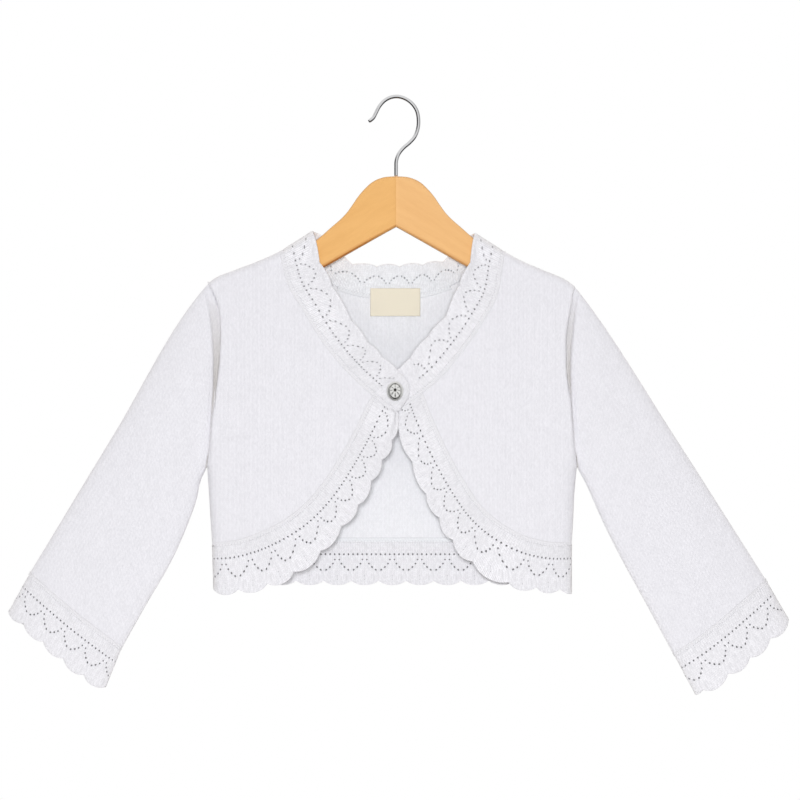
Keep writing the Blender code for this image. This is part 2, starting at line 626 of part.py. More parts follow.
def label(material):
    x, z = LABEL_CENTRE
    inside = float(back_y(x, z)) - WALL
    bpy.ops.mesh.primitive_cube_add(size=1)
    thing = bpy.context.object
    thing.name = thing.data.name = "label"
    thing.data.materials.append(material)
    thing.scale = (LABEL_SIZE[0] * MM, LABEL_WALL * MM, LABEL_SIZE[1] * MM)
    thing.location = (x * MM, (inside - SEAM_GAP - LABEL_WALL / 2) * MM, z * MM)
    bpy.ops.object.transform_apply(location=False, rotation=False, scale=True)
    for owner in list(thing.users_collection):
        owner.objects.unlink(thing)
    bpy.data.collections["knitted_shrug"].objects.link(thing)


# ================================================================ the whole part
clear_scene()
parts = bpy.data.collections.new("knitted_shrug")
bpy.context.scene.collection.children.link(parts)

knit = new_material("white knit", (0.86, 0.86, 0.88), 0.9)
lace = new_material("white lace knit", (0.89, 0.89, 0.91), 0.9)
tape = new_material("cream label tape", (0.83, 0.78, 0.64), 0.85)
wood = new_material("varnished wood", (0.83, 0.49, 0.19), 0.4)
steel = new_material("chromed wire", (0.62, 0.62, 0.63), 0.18, 1.0)
silver = new_material("silver button", (0.70, 0.70, 0.68), 0.3, 1.0)

panels = {side: front_panel(side, knit) for side in SHOULDER}
back_edges = back_panel(knit)
for side in SHOULDER:
    cuff_lace(side, sleeve(side, knit), lace)
lace_bands(panels, back_edges, lace)
for side in SHOULDER:
    hanger_arm(side, wood)
hook(steel)
button(silver)
label(tape)
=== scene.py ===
"""A toddler's white knitted shrug with eyelet-lace edges, on a wooden hanger.

The pieces come in the order in which they are put together: the plain knitted panels, the
sleeves, the lace bands, the seams that join them, the label, the button, and then the
hanger. Tables are in millimetres, as seen from the front: x to the right, z up from the
inner top of the hook. Meshes are in metres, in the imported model's frame.
"""
import math
from functools import partial

import bmesh
import bpy
import numpy as np
from mathutils.geometry import delaunay_2d_cdt
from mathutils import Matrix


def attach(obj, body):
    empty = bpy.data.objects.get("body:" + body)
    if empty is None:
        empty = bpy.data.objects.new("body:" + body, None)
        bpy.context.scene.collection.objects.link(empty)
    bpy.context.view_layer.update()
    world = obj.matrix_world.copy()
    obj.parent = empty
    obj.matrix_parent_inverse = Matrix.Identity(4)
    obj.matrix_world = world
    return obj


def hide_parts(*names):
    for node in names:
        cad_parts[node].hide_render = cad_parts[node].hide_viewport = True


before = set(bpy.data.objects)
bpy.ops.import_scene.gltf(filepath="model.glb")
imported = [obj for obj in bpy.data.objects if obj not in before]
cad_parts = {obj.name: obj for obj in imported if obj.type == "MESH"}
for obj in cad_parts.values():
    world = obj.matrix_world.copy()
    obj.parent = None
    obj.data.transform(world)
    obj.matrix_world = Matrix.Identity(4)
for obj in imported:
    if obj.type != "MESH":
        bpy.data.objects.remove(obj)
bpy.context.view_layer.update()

# ================================================================ back panel
# The back of the body, one flat piece of fine white cotton jersey. It is linked to the
# fronts along the shoulders and sides, and hangs from the shoulders of the hanger.
MM = 0.001
WALL = 1.3                       # thickness of the knit
WALE, COURSE = 2.1, 1.5          # width and height of one jersey stitch
FOLD_HALF_GAP = 0.25             # front and back stand this far from the middle plane
EDGE_STEP = 0.2                  # the panels stop this far inside the armhole and side
ROUND_POWER = 2.6                # how full the roll of their edges is
SHOULDER_ROLL, SIDE_ROLL, ARMHOLE_ROLL, ROLL_CHANGE = 7.0, 16.0, 8.0, 32.0
ARMHOLE_DEPTH, UNDERARM_Z, UNDERARM_ROLL = 6.0, -294.9, 12.0
DEPTH = {                        # z, distance of the layer's outer face from the middle
    "front": [(-105, 8.0), (-150, 8.6), (-190, 11.6), (-225, 12.5), (-300, 12.9),
              (-395, 11.5)],
    "back": [(-105, 8.0), (-130, 9.0), (-185, 9.0), (-250, 10.5), (-300, 11.5),
             (-395, 11.0)],
}
SHOULDER = {                     # from the neck point down to the shoulder tip
    "left": [(-68.2, -105.8), (-79.4, -113.3), (-91.4, -120.9), (-109.0, -129.3),
             (-129.8, -137.3), (-147.0, -144.6), (-151.2, -147.9)],
    "right": [(62.5, -107.4), (71.8, -113.3), (83.8, -121.3), (98.2, -129.3),
              (116.6, -137.3), (136.0, -145.9), (142.2, -150.6)],
}
ARMHOLE = {                      # from the shoulder tip down to the underarm
    "left": [(-151.2, -147.9), (-145.2, -161.0), (-142.6, -185.3), (-143.8, -204.5),
             (-147.0, -241.3), (-149.8, -273.3), (-152.2, -294.9)],
    "right": [(142.2, -150.6), (136.6, -162.5), (134.2, -185.3), (135.4, -204.5),
              (138.6, -241.3), (141.4, -273.3), (143.8, -294.9)],
}
SIDE = {                         # from the underarm down to the lower edge of the lace
    "left": [(-152.2, -294.9), (-150.9, -315.0), (-149.4, -340.0), (-148.2, -357.5),
             (-147.4, -394.9)],
    "right": [(143.8, -294.9), (142.0, -315.0), (140.8, -340.0), (139.8, -357.2),
              (139.6, -394.9)],
}
NECK_RISE, NECK_REACH = 0.6, 60.0
BACK_NECK_SEAM = [(-91.4, -120.9), (-70.0, -137.0), (-49.0, -150.6), (-27.0, -156.3),
                  (-1.8, -157.0), (22.0, -156.0), (44.0, -149.6), (64.0, -137.0),
                  (83.8, -121.3)]
HEM_SEAM_Z = -354.6
ARMHOLE_SHARE = 0.7              # of a panel's height at the side
ARMHOLE_ROWS, SIDE_ROWS = 72, 30         # lines of points down a panel, above and below
SHOULDER_COLUMNS, NECK_COLUMNS = 22, 70  # and across the back
KNIT_COLOUR = (0.825, 0.82, 0.852)
# the back's inner face is coloured lighter than its outside: painted light where the inside
# lies in shade
WRONG_SIDE_COLOUR_WITH_PAINTED_LIGHT = (0.885, 0.889, 0.912)
# painted shade: how far the pits of the eyelets are darkened, and the colour painted into
# deep folds
EYELET_SHADE, PAINTED_FOLD_SHADE_COLOUR = 0.84, (0.64, 0.62, 0.57)


def travelled(line):
    """Distance along a line of points, from the first one to each of them."""
    steps = np.linalg.norm(np.diff(line, axis=0), axis=1)
    return np.concatenate([[0], np.cumsum(steps)])


def read_off(wanted, known, rows):
    """Rows of a table at the wanted values; the known values stand beside its rows."""
    columns = np.transpose(rows)
    return np.stack([np.interp(wanted, known, column) for column in columns], axis=-1)


def smooth(table, steps=24):
    """A dense smooth curve through the rows of a table, its slopes taken by distance."""
    rows = np.array(table, dtype=float)
    if len(rows) == 2:
        return rows
    reach = np.linalg.norm(np.diff(rows, axis=0), axis=1)
    slopes = np.gradient(rows, travelled(rows), axis=0)
    t = np.linspace(0, 1, steps, endpoint=False)[:, None]
    pieces = [(2 * t**3 - 3 * t**2 + 1) * a + (t**3 - 2 * t**2 + t) * h * sa
              + (3 * t**2 - 2 * t**3) * b + (t**3 - t**2) * h * sb
              for a, b, sa, sb, h in zip(rows, rows[1:], slopes, slopes[1:], reach)]
    return np.vstack(pieces + [rows[-1:]])


def at(line, shares):
    """Points of a polyline at the given shares of its length."""
    length = travelled(line)
    return read_off(np.asarray(shares, dtype=float) * length[-1], length, line)


def rolled(t):
    """Rise of a rolled edge: 0 at the edge, 1 where the cloth is flat."""
    t = np.clip(t, 0, 1)
    return (1 - (1 - t) ** ROUND_POWER) ** (1 / ROUND_POWER)


def eased(t):
    t = np.clip(t, 0, 1)
    return t * t * (3 - 2 * t)


def by_height(rows, z):
    table = sorted(rows)
    return np.interp(z, [row[0] for row in table], [row[1] for row in table])


def shoulder_z(x):
    """Height of the shoulder line, which runs on upwards past the neck point."""
    left, right = smooth(SHOULDER["left"]), smooth(SHOULDER["right"])
    over = NECK_REACH * NECK_RISE
    line = np.vstack([left[::-1], [(left[0][0] + NECK_REACH, left[0][1] + over)],
                      [(right[0][0] - NECK_REACH, right[0][1] + over)], right])
    return np.interp(x, line[:, 0], line[:, 1])


def side_x(side, z):
    """The armhole and side seam's distance out, by height."""
    line = np.vstack([smooth(ARMHOLE[side]), smooth(SIDE[side])])
    return np.interp(z, line[::-1, 1], line[::-1, 0])


def depth(layer, x, z, step_in=0.0, armhole_roll=ARMHOLE_ROLL):
    """Distance of a layer's outer face from the middle plane."""
    x, z = np.asarray(x, dtype=float), np.asarray(z, dtype=float)
    from_side = np.minimum(x - side_x("left", z), side_x("right", z) - x) - EDGE_STEP
    above = z - UNDERARM_Z
    roll = SIDE_ROLL + (armhole_roll - SIDE_ROLL) * eased(above / ROLL_CHANGE)
    edge = ARMHOLE_DEPTH * rolled(above / UNDERARM_ROLL)
    full = by_height(DEPTH[layer], z)
    flat = edge + (full - edge) * rolled((from_side - step_in) / roll)
    return FOLD_HALF_GAP + flat * rolled((shoulder_z(x) - z) / SHOULDER_ROLL)


CREASE_PAST, CREASE_FADE = 0.25, 0.45    # shares of its length: past an end, and fading


def creases(rows, x, z):
    """Soft ridges (a height above 0) and troughs (below 0) along short lines."""
    rise = np.zeros(np.shape(x))
    for x0, z0, x1, z1, height, half_width in rows:
        along, out = np.array([x1 - x0, z1 - z0]), math.hypot(x1 - x0, z1 - z0)
        share = ((x - x0) * along[0] + (z - z0) * along[1]) / out ** 2
        apart = ((x - x0) * along[1] - (z - z0) * along[0]) / out
        fade = (eased((share + CREASE_PAST) / CREASE_FADE)
                * eased((1 + CREASE_PAST - share) / CREASE_FADE))
        rise = rise + height * fade * np.exp(-(apart / half_width) ** 2)
    return rise


BACK_CREASES = [                 # x and z of both ends, height, half width
    (-132, -262, -96, -276, -0.7, 5.0), (128, -255, 92, -271, -0.6, 5.5),
    (-118, -300, -70, -318, 0.5, 9.0), (110, -290, 60, -312, 0.5, 10.0),
    (-60, -180, -96, -215, 0.5, 9.0), (52, -184, 90, -222, 0.5, 8.0),
    (-20, -250, -26, -330, 0.5, 12.0), (34, -240, 40, -335, -0.4, 12.0),
]


def back_y(x, z):
    return depth("back", x, z) + creases(BACK_CREASES, x, z)


def coons_grid(a, b, c, d, across, down):
    """Flat grid between its top, bottom, first and last edges, at shares of them."""
    u = np.asarray(across)[:, None, None]
    v = np.asarray(down)[None, :, None]
    ruled = (1 - v) * a[:, None] + v * b[:, None] + (1 - u) * c[None] + u * d[None]
    corners = ((1 - u) * (1 - v) * a[0] + u * (1 - v) * a[-1]
               + (1 - u) * v * b[0] + u * v * b[-1])
    return ruled - corners


def raised(flat, y):
    """Flat x, z points with their depth y, as x, y, z."""
    return np.stack([flat[..., 0], y, flat[..., 1]], axis=-1)


def crowded(count, ends=1.0):
    """Shares from 0 to 1, closer together at both ends."""
    t = np.linspace(0, 1, count)
    return (1 - ends) * t + ends * (1 - np.cos(math.pi * t)) / 2


def down_stations():
    """Shares of the way down a panel, from the shoulder to the underarm and the hem."""
    below = crowded(SIDE_ROWS, 0.6)[1:]
    return np.concatenate([ARMHOLE_SHARE * crowded(ARMHOLE_ROWS, 0.8),
                           ARMHOLE_SHARE + (1 - ARMHOLE_SHARE) * below])


def side_edge(side, seam_z):
    """Armhole and side seam down to the lace, at the stations of the panels."""
    down = down_stations()
    lower = smooth(SIDE[side])
    lower = lower[lower[:, 1] > seam_z + 0.5]
    lower = np.vstack([lower, [(side_x(side, seam_z), seam_z)]])
    upper = at(smooth(ARMHOLE[side]), down[down <= ARMHOLE_SHARE] / ARMHOLE_SHARE)
    rest = (down[down > ARMHOLE_SHARE] - ARMHOLE_SHARE) / (1 - ARMHOLE_SHARE)
    edge = np.vstack([upper, at(lower, rest)])
    edge[:, 0] += EDGE_STEP if side == "left" else -EDGE_STEP
    edge[0, 1] = shoulder_z(edge[0, 0])
    return edge


def panel_shoulder(side, neck_x):
    """Shoulder seam of the panels, from the tip to the neck seam."""
    line = smooth(SHOULDER[side])
    kept = line[np.abs(line[:, 0]) > abs(neck_x) + 0.5]
    return np.vstack([kept[::-1], [(neck_x, shoulder_z(neck_x))]])


CLOUDS = 0.035                   # how much the tone drifts over a few stitches
WALES_DIFFER = 0.15              # and how much whole wales differ, beside single stitches
FIBRE_NOISE, CLOUD_NOISE = (2600, 2), (90, 3)    # scale and detail
FIBRE_HEIGHT, FURROW_DEPTH = 0.35, 0.25  # beside the height of a stitch
LEG_AT, LEG_HALF, LEG_SLANT = 0.24, 0.26, 1.7    # of a V, in stitches from its middle
RIBS_REACH, RIBS_FADE = 7.0, 1.5         # courses from the seam


def plug(node, inputs):
    """Gives the sockets of a node a value each, or a link from another node's socket."""
    for socket, value in inputs.items() if isinstance(inputs, dict) else enumerate(inputs):
        if isinstance(value, bpy.types.NodeSocket):
            node.id_data.links.new(value, node.inputs[socket])
        else:
            node.inputs[socket].default_value = value


def node_tools(tree):
    """Functions that add a node to the tree and give back an output, or all of them."""
    def add(kind, inputs=(), output=0, **settings):
        node = tree.nodes.new(kind)
        for setting, value in settings.items():
            setattr(node, setting, value)
        plug(node, inputs)
        return node.outputs if output is None else node.outputs[output]

    def maths(operation, *values, clamp=False):
        return add("ShaderNodeMath", values, operation=operation, use_clamp=clamp)

    def mix(share, first, second, how="MIX"):
        first, second = ((*colour, 1) if isinstance(colour, tuple) else colour
                         for colour in (first, second))
        return add("ShaderNodeMix", {0: share, 6: first, 7: second}, 2, data_type="RGBA",
                   blend_type=how)
    return add, maths, mix


def new_material(name):
    material = bpy.data.materials.new(name)
    material.use_nodes = True
    return material, material.node_tree.nodes["Principled BSDF"]


def knit_material(name, colour, gaps=0.14, uneven=0.036, ribs=0.0, bump=0.32):
    """Cotton yarn in V-shaped stitches, which lie on the piece's map of stitches.

    gaps is how dark the painted shade in the gaps between the stitches is, uneven how much
    single stitches differ, and ribs how dark the painted shade in the furrows between the
    wales is, in the strip beside a seam. The attributes "eyelet" and "fold" paint shade into
    the pits of the eyelets and the deep folds."""
    material, shader = new_material(name)
    add, maths, mix = node_tools(material.node_tree)
    places = add("ShaderNodeUVMap", uv_map="stitches")
    wale, course, _ = add("ShaderNodeSeparateXYZ", [places], None)
    leg = maths("ABSOLUTE", maths("SUBTRACT", maths("FRACT", wale), 0.5))
    off_leg = maths("DIVIDE", maths("SUBTRACT", leg, LEG_AT), LEG_HALF)
    across = maths("SUBTRACT", 1.0, maths("MULTIPLY", off_leg, off_leg), clamp=True)
    climb = maths("ADD", course, maths("MULTIPLY", leg, LEG_SLANT))
    along = maths("SINE", maths("MULTIPLY", maths("FRACT", climb), math.pi))
    yarn = maths("MULTIPLY", across, maths("ADD", maths("MULTIPLY", along, 0.5), 0.5))

    half_wale = maths("FLOOR", maths("MULTIPLY", wale, 2.0))
    single = add("ShaderNodeCombineXYZ", [half_wale, maths("FLOOR", climb)])
    each = add("ShaderNodeTexWhiteNoise", {"Vector": single}, noise_dimensions="2D")
    column = add("ShaderNodeTexWhiteNoise", {"W": maths("FLOOR", wale)},
                 noise_dimensions="1D")
    place = add("ShaderNodeTexCoord", output="Object")
    fibre, cloud = (
        add("ShaderNodeTexNoise", {"Scale": scale, "Detail": detail, "Vector": place}, "Fac")
        for scale, detail in (FIBRE_NOISE, CLOUD_NOISE))
    height = maths("ADD", yarn, maths("MULTIPLY", fibre, FIBRE_HEIGHT))

    # painted shade in the gaps between the stitches
    gap_painted_shade = maths("MULTIPLY", maths("SUBTRACT", 1.0, yarn), gaps)
    tone = maths("SUBTRACT", 1.0, gap_painted_shade)
    by_wale = 0.0 if ribs else WALES_DIFFER
    mixed = maths("ADD", each, maths("MULTIPLY", column, by_wale))
    single_tone = maths("MULTIPLY", maths("SUBTRACT", mixed, 0.5 + by_wale / 2), uneven * 2)
    tone = maths("MULTIPLY", tone, maths("ADD", single_tone, 1.0))
    cloudy = maths("MULTIPLY", maths("SUBTRACT", cloud, 0.5), CLOUDS)
    tone = maths("MULTIPLY", tone, maths("ADD", cloudy, 1.0))
    if ribs:
        near = maths("SUBTRACT", RIBS_REACH, course)
        beside_seam = maths("DIVIDE", near, RIBS_FADE, clamp=True)
        from_middle = maths("MULTIPLY", leg, 2.0)
        furrow = maths("MULTIPLY", maths("MULTIPLY", from_middle, from_middle), beside_seam)
        # painted shade in the furrows beside a seam, along with their lower bump
        tone = maths("MULTIPLY", tone,
                     maths("SUBTRACT", 1.0, maths("MULTIPLY", furrow, ribs)))
        height = maths("SUBTRACT", height, maths("MULTIPLY", furrow, FURROW_DEPTH))
    eyelet, fold = (add("ShaderNodeAttribute", output="Fac", attribute_name=called)
                    for called in ("eyelet", "fold"))
    tone = maths("MULTIPLY", tone,
                 maths("SUBTRACT", 1.0, maths("MULTIPLY", eyelet, EYELET_SHADE)))
    tint = add("ShaderNodeVectorMath", {0: colour, "Scale": tone}, operation="SCALE")
    relief = add("ShaderNodeBump", {"Strength": 0.7, "Distance": bump * MM,
                                    "Height": height}, "Normal")
    plug(shader, {"Base Color": mix(fold, tint, PAINTED_FOLD_SHADE_COLOUR, "MULTIPLY"), "Normal": relief,
                  "Roughness": 0.92, "Specular IOR Level": 0.2,
                  "Sheen Weight": 0.25, "Sheen Roughness": 0.5})
    return material


def numbered(grid):
    """The number of each point of a grid, in the order in which a mesh keeps them."""
    rows, columns = grid.shape[:2]
    return np.arange(rows * columns).reshape(rows, columns)


def grid_faces(number):
    """Four-cornered faces between the neighbours in a grid of point numbers."""
    return np.stack([number[:-1, :-1], number[1:, :-1], number[1:, 1:], number[:-1, 1:]],
                    axis=-1).reshape(-1, 4)


def outer_faces(grid, number, inward=False):
    """The grid's faces, wound to face away from y = 0, or towards it."""
    faces, points = grid_faces(number), grid.reshape(-1, 3)
    first = faces[len(faces) // 3]
    normal = np.cross(points[first[1]] - points[first[0]],
                      points[first[3]] - points[first[0]])
    turned = (normal[1] * points[first[0]][1] < 0) != inward
    return faces[:, ::-1] if turned else faces


def new_mesh(name, grid, faces):
    """A mesh in metres from points in millimetres."""
    mesh = bpy.data.meshes.new(name)
    mesh.from_pydata((np.reshape(grid, (-1, 3)) * MM).tolist(), [], faces)
    return mesh


def at_corners(mesh, places):
    """Pairs of numbers that belong to the points, set out for the corners of the faces."""
    corner = np.empty(len(mesh.loops), dtype=int)
    mesh.loops.foreach_get("vertex_index", corner)
    return places.reshape(-1, 2)[corner].ravel()


def lay_map(mesh, name, places):
    mesh.uv_layers.new(name=name).data.foreach_set("uv", at_corners(mesh, places))


def mark_points(mesh, name, values):
    """Keeps one number at each point, which a material reads by its name."""
    marks = mesh.attributes.new(name, "FLOAT", "POINT")
    marks.data.foreach_set("value", np.ravel(values))


def put(name, data):
    """An object with its mesh, lamp or camera, in the scene."""
    piece = bpy.data.objects.new(name, data)
    bpy.context.scene.collection.objects.link(piece)
    return piece


def knit_sheet(name, grid, stitches, material, closed=False, fold=None, inside=None):
    """A shell of knit whose outer face is the grid, wound to face away from y = 0."""
    number = numbered(grid)
    if closed:
        number = np.vstack([number, number[:1]])
    mesh = new_mesh(name, grid, outer_faces(grid, number).tolist())
    lay_map(mesh, "stitches", stitches)
    if fold is not None:
        mark_points(mesh, "fold", fold)
    mesh.shade_smooth()
    mesh.materials.append(material)
    piece = put(name, mesh)
    wall = piece.modifiers.new("Thickness of the knit", "SOLIDIFY")
    wall.thickness = WALL * MM
    wall.offset = -1
    if inside:
        mesh.materials.append(inside)
        wall.material_offset = 1
    return piece


def plain_stitches(grid):
    return grid[..., [0, 2]] / (WALE, COURSE)


jersey = knit_material("white cotton jersey", KNIT_COLOUR)
wrong_side_with_painted_light = knit_material("wrong side of the jersey, with painted light", WRONG_SIDE_COLOUR_WITH_PAINTED_LIGHT)


def make_back():
    down = down_stations()
    edges = {side: side_edge(side, HEM_SEAM_Z) for side in SHOULDER}
    shoulder = {side: at(panel_shoulder(side, edge_x), crowded(SHOULDER_COLUMNS, 0.8))
                for side, edge_x in (("left", BACK_NECK_SEAM[0][0]),
                                     ("right", BACK_NECK_SEAM[-1][0]))}
    neck = at(smooth(BACK_NECK_SEAM), crowded(NECK_COLUMNS, 0.6))
    for side in SHOULDER:
        shoulder[side][0] = edges[side][0]
        edges[side][-1, 1] = HEM_SEAM_Z
    top = np.vstack([shoulder["left"], neck[1:-1], shoulder["right"][::-1]])
    across = (top[:, 0] - top[0, 0]) / (top[-1, 0] - top[0, 0])
    low_left, low_right = edges["left"][-1], edges["right"][-1]
    bottom = np.stack([low_left[0] + (low_right[0] - low_left[0]) * across,
                       np.full(len(top), HEM_SEAM_Z)], axis=-1)
    flat = coons_grid(top, bottom, edges["left"], edges["right"], across, down)
    grid = raised(flat, back_y(flat[..., 0], flat[..., 1]))
    piece = knit_sheet("knitted_back", grid, plain_stitches(grid), jersey,
                       inside=wrong_side_with_painted_light)
    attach(piece, "root")
    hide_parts("back")


make_back()

# ================================================================ front panels
# Two fronts in the same jersey, cut in a V above the button and in a wide curve below it.
# The left one laps over the right one where they are buttoned.
LAP_FRONT, LAP_BACK = 1.15, 1.05         # the left one comes forward, the right goes back
LAP_CENTRE, LAP_REACH = -1.9, 32.0       # at the button, fading over this far
NECK_SEAM = {                    # where the neck lace joins the front, down to the tip
    "left": [(-91.4, -120.9), (-88.6, -135.0), (-85.0, -148.0), (-74.6, -165.9),
             (-55.4, -196.6), (-36.5, -218.8), (-16.4, -237.6)],
    "right": [(83.8, -121.3), (81.2, -135.0), (77.0, -158.1), (66.2, -177.7),
              (46.2, -206.1), (30.0, -224.5), (17.4, -234.9)],
}
LOWER_SEAM = {                   # where the lower lace joins the front, from tip to side
    "left": [(-16.4, -237.6), (-22.0, -247.0), (-28.8, -261.0), (-44.6, -289.6),
             (-59.0, -311.3), (-79.0, -332.0), (-107.2, -348.5), (-130.0, -355.9),
             (-148.2, -357.5)],
    "right": [(17.4, -234.9), (21.4, -246.1), (29.8, -266.1), (51.4, -307.4),
              (66.6, -329.0), (84.6, -343.8), (104.6, -353.4), (122.0, -357.0),
              (139.8, -357.2)],
}
GROOVE_STEP = {                  # z, how far in the front's armhole edge rises
    "left": [(-150, 0.2), (-165, 0.6), (-185, 1.1), (-197, 1.5), (-213, 2.0),
             (-221, 1.7), (-231, 1.4), (-241, 1.3), (-249, 0.6), (-257, 0.0), (-296, 0.0)],
    "right": [(-150, 0.2), (-165, 0.0), (-191, 0.0), (-205, 0.7), (-213, 1.3),
              (-221, 1.4), (-231, 1.0), (-241, 0.3), (-254, 0.0), (-296, 0.0)],
}
GROOVE_ROLL = 2.6                # and over this far beyond the step
FULL_STEP, SHADE_REACH = 1.5, 0.9        # step with the full painted shade, reach of the painted shade
ON_THE_LAP = -0.1                # what lies past the seam, on the lap, gets no painted shade
FOLD_SHADE = [                   # z, how much painted shade the groove beside it gets
    (-150, 0.0), (-158, 0.08), (-172, 0.35), (-190, 0.55), (-205, 0.75),
    (-225, 0.9), (-240, 1.0), (-280, 1.0), (-296, 0.7),
]
FRONT_CREASES = {
    "left": [(-144, -272, -118, -266, -1.1, 3.2), (-140, -284, -112, -290, 0.7, 5.0),
             (-122, -170, -100, -205, -0.5, 8.0), (-96, -150, -88, -190, -0.5, 7.0),
             (-112, -300, -76, -322, 0.5, 9.0), (-62, -235, -96, -262, 0.4, 12.0)],
    "right": [(135, -268, 112, -262, -1.1, 3.2), (131, -281, 106, -286, 0.7, 5.0),
              (112, -172, 92, -214, -0.6, 8.0), (84, -160, 96, -196, -0.5, 8.0),
              (104, -296, 66, -320, 0.5, 9.0), (60, -240, 88, -268, 0.4, 12.0)],
}
LAP_TIP_ROLL, LAP_RISE = 20.0, 1.5       # the lap lies down this far from the tip and seam
ARMHOLE_OVERLAP = {              # z, how far out the front lies over its sleeve
    "left": [(-150, 0.0), (-296, 0.0)],
    "right": [(-150, 0.0), (-156, 1.5), (-163, 3.6), (-172, 3.4), (-180, 2.4),
              (-189, 1.2), (-197, 0.6), (-231, 0.4), (-241, 0.6), (-254, 0.2), (-262, 0.0),
              (-296, 0.0)],
}
FRONT_COLUMNS = 76


def front_y(side, x, z):
    """Depth of a front's outer face: the lap at the button, the armhole and creases."""
    lap = np.exp(-((np.asarray(x) - LAP_CENTRE) / LAP_REACH) ** 2)
    shift = -LAP_FRONT * lap if side == "left" else LAP_BACK * lap
    over = by_height(ARMHOLE_OVERLAP[side], z)
    face = depth("front", x - over, z, by_height(GROOVE_STEP[side], z), GROOVE_ROLL)
    out = (x - side_x(side, z)) * (1 if side == "right" else -1)
    fall = (1 - rolled((shoulder_z(x) - z) / LAP_TIP_ROLL)) * eased(out / LAP_RISE)
    face = face * (1 - fall)
    return -face + shift - creases(FRONT_CREASES[side], x, z)


def make_front(side):
    down = down_stations()
    edge = side_edge(side, LOWER_SEAM[side][-1][1])
    edge[:, 0] += by_height(ARMHOLE_OVERLAP[side], edge[:, 1])
    across = crowded(FRONT_COLUMNS, 0.75)
    top = at(panel_shoulder(side, NECK_SEAM[side][0][0]), across)
    top[0] = edge[0]
    bottom = at(smooth(LOWER_SEAM[side])[::-1], across)
    bottom[0] = edge[-1]
    neck = at(smooth(NECK_SEAM[side]), down)
    flat = coons_grid(top, bottom, edge, neck, across, down)
    grid = raised(flat, front_y(side, flat[..., 0], flat[..., 1]))
    x, z = flat[..., 0], flat[..., 1]
    x = x - by_height(ARMHOLE_OVERLAP[side], z)
    from_seam = (side_x(side, z) - x) * (1 if side == "right" else -1)
    step = by_height(GROOVE_STEP[side], z)
    past = from_seam - EDGE_STEP - step
    # painted shade on the front's strip down in the armhole groove
    fold = (by_height(FOLD_SHADE, z) * np.clip(step / FULL_STEP, 0, 1)
            * eased((SHADE_REACH - past) / SHADE_REACH) * (from_seam > ON_THE_LAP))
    piece = knit_sheet("knitted_front_" + side, grid, plain_stitches(grid), jersey,
                       fold=fold)
    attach(piece, "root")
    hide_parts("front_" + side)


for side in SHOULDER:
    make_front(side)

# ================================================================ sleeves
# Long one-piece sleeves in jersey, linked in at the armholes. They hang flat beside the
# body, and a deep groove runs down the armhole, where each sleeve folds outwards.
SLEEVE_OUTER = {                 # fold of the upper arm, from shoulder tip to cuff seam
    "left": [(-151.2, -147.9), (-157.6, -155.6), (-225.9, -267.3), (-294.2, -380.1)],
    "right": [(142.2, -150.6), (148.8, -159.2), (222.0, -270.6), (295.8, -386.6)],
}
SLEEVE_INNER = {                 # fold of the under arm, from underarm to cuff seam
    "left": [(-152.2, -294.9), (-157.0, -305.3), (-160.6, -321.3), (-166.2, -337.3),
             (-180.2, -369.3), (-198.6, -401.3), (-219.3, -438.1)],
    "right": [(143.8, -294.9), (149.4, -305.3), (163.8, -337.3), (179.8, -369.3),
              (197.4, -401.3), (221.6, -445.9)],
}
SLEEVE_RINGS = [                 # share of the outer fold, of the inner fold, depth
    (0.000, 0.000, 6.0), (0.017, 0.003, 7.8), (0.042, 0.007, 9.2), (0.080, 0.012, 10.2),
    (0.140, 0.022, 10.6), (0.230, 0.035, 10.8), (0.330, 0.047, 10.8),
    (0.430, 0.075, 10.6), (0.530, 0.220, 10.2), (0.630, 0.380, 10.0),
    (0.740, 0.560, 9.8), (0.860, 0.760, 9.6), (1.000, 1.000, 9.4),
]
RING_COUNT, SLEEVE_COLUMNS = 120, 64
FOLD_LENGTHS = (270, 170)        # rough lengths of the outer and the inner fold
ARMHOLE_FADE, SEAM_FADE = 0.35, 0.14
GROOVE_DEPTH = 5.6               # of the groove's floor from the middle plane
FOLD_DISTANCE = {                # z, from the armhole seam out to the sleeve's fold
    "left": [(-150, 6.0), (-165, 7.3), (-176, 6.7), (-192, 4.9), (-206, 3.0), (-219, 2.0),
             (-231, 1.1), (-243, 0.8), (-257, 0.5), (-280, 0.2), (-288, 0.8), (-296, 1.6)],
    "right": [(-150, 6.0), (-165, 7.5), (-176, 7.7), (-190, 5.9), (-206, 3.3),
              (-219, 2.0), (-231, 1.3), (-243, 0.7), (-257, 0.5), (-280, 0.2),
              (-288, 0.8), (-296, 1.6)],
}
FOLD_BEGINS, FOLD_ROLL, FOLD_FULL = 0.5, 2.2, 3.0    # before it, up its roll, till full
SEAM_TUCK, TUCK_FADE = 0.6, 0.015    # how far the sleeve's edge goes in under the body's
CUFF_DROP = {                    # share across the front, how far its end hangs lower
    "left": [(0, 0.8), (0.25, 2.2), (0.5, 3.2), (0.75, 3.3), (1, 3.0)],
    "right": [(0, 0.0), (0.25, 1.2), (0.5, 2.1), (0.75, 2.0), (1, 0.2)],
}
CUFF_DROP_FROM, CUFF_DROP_WAY = 0.7, (0.5, -0.866)
SLEEVE_WALES = 12                # the stitches lean this many degrees, out to the cuff
CREASE_BEHIND = 0.6              # of a crease's height in front
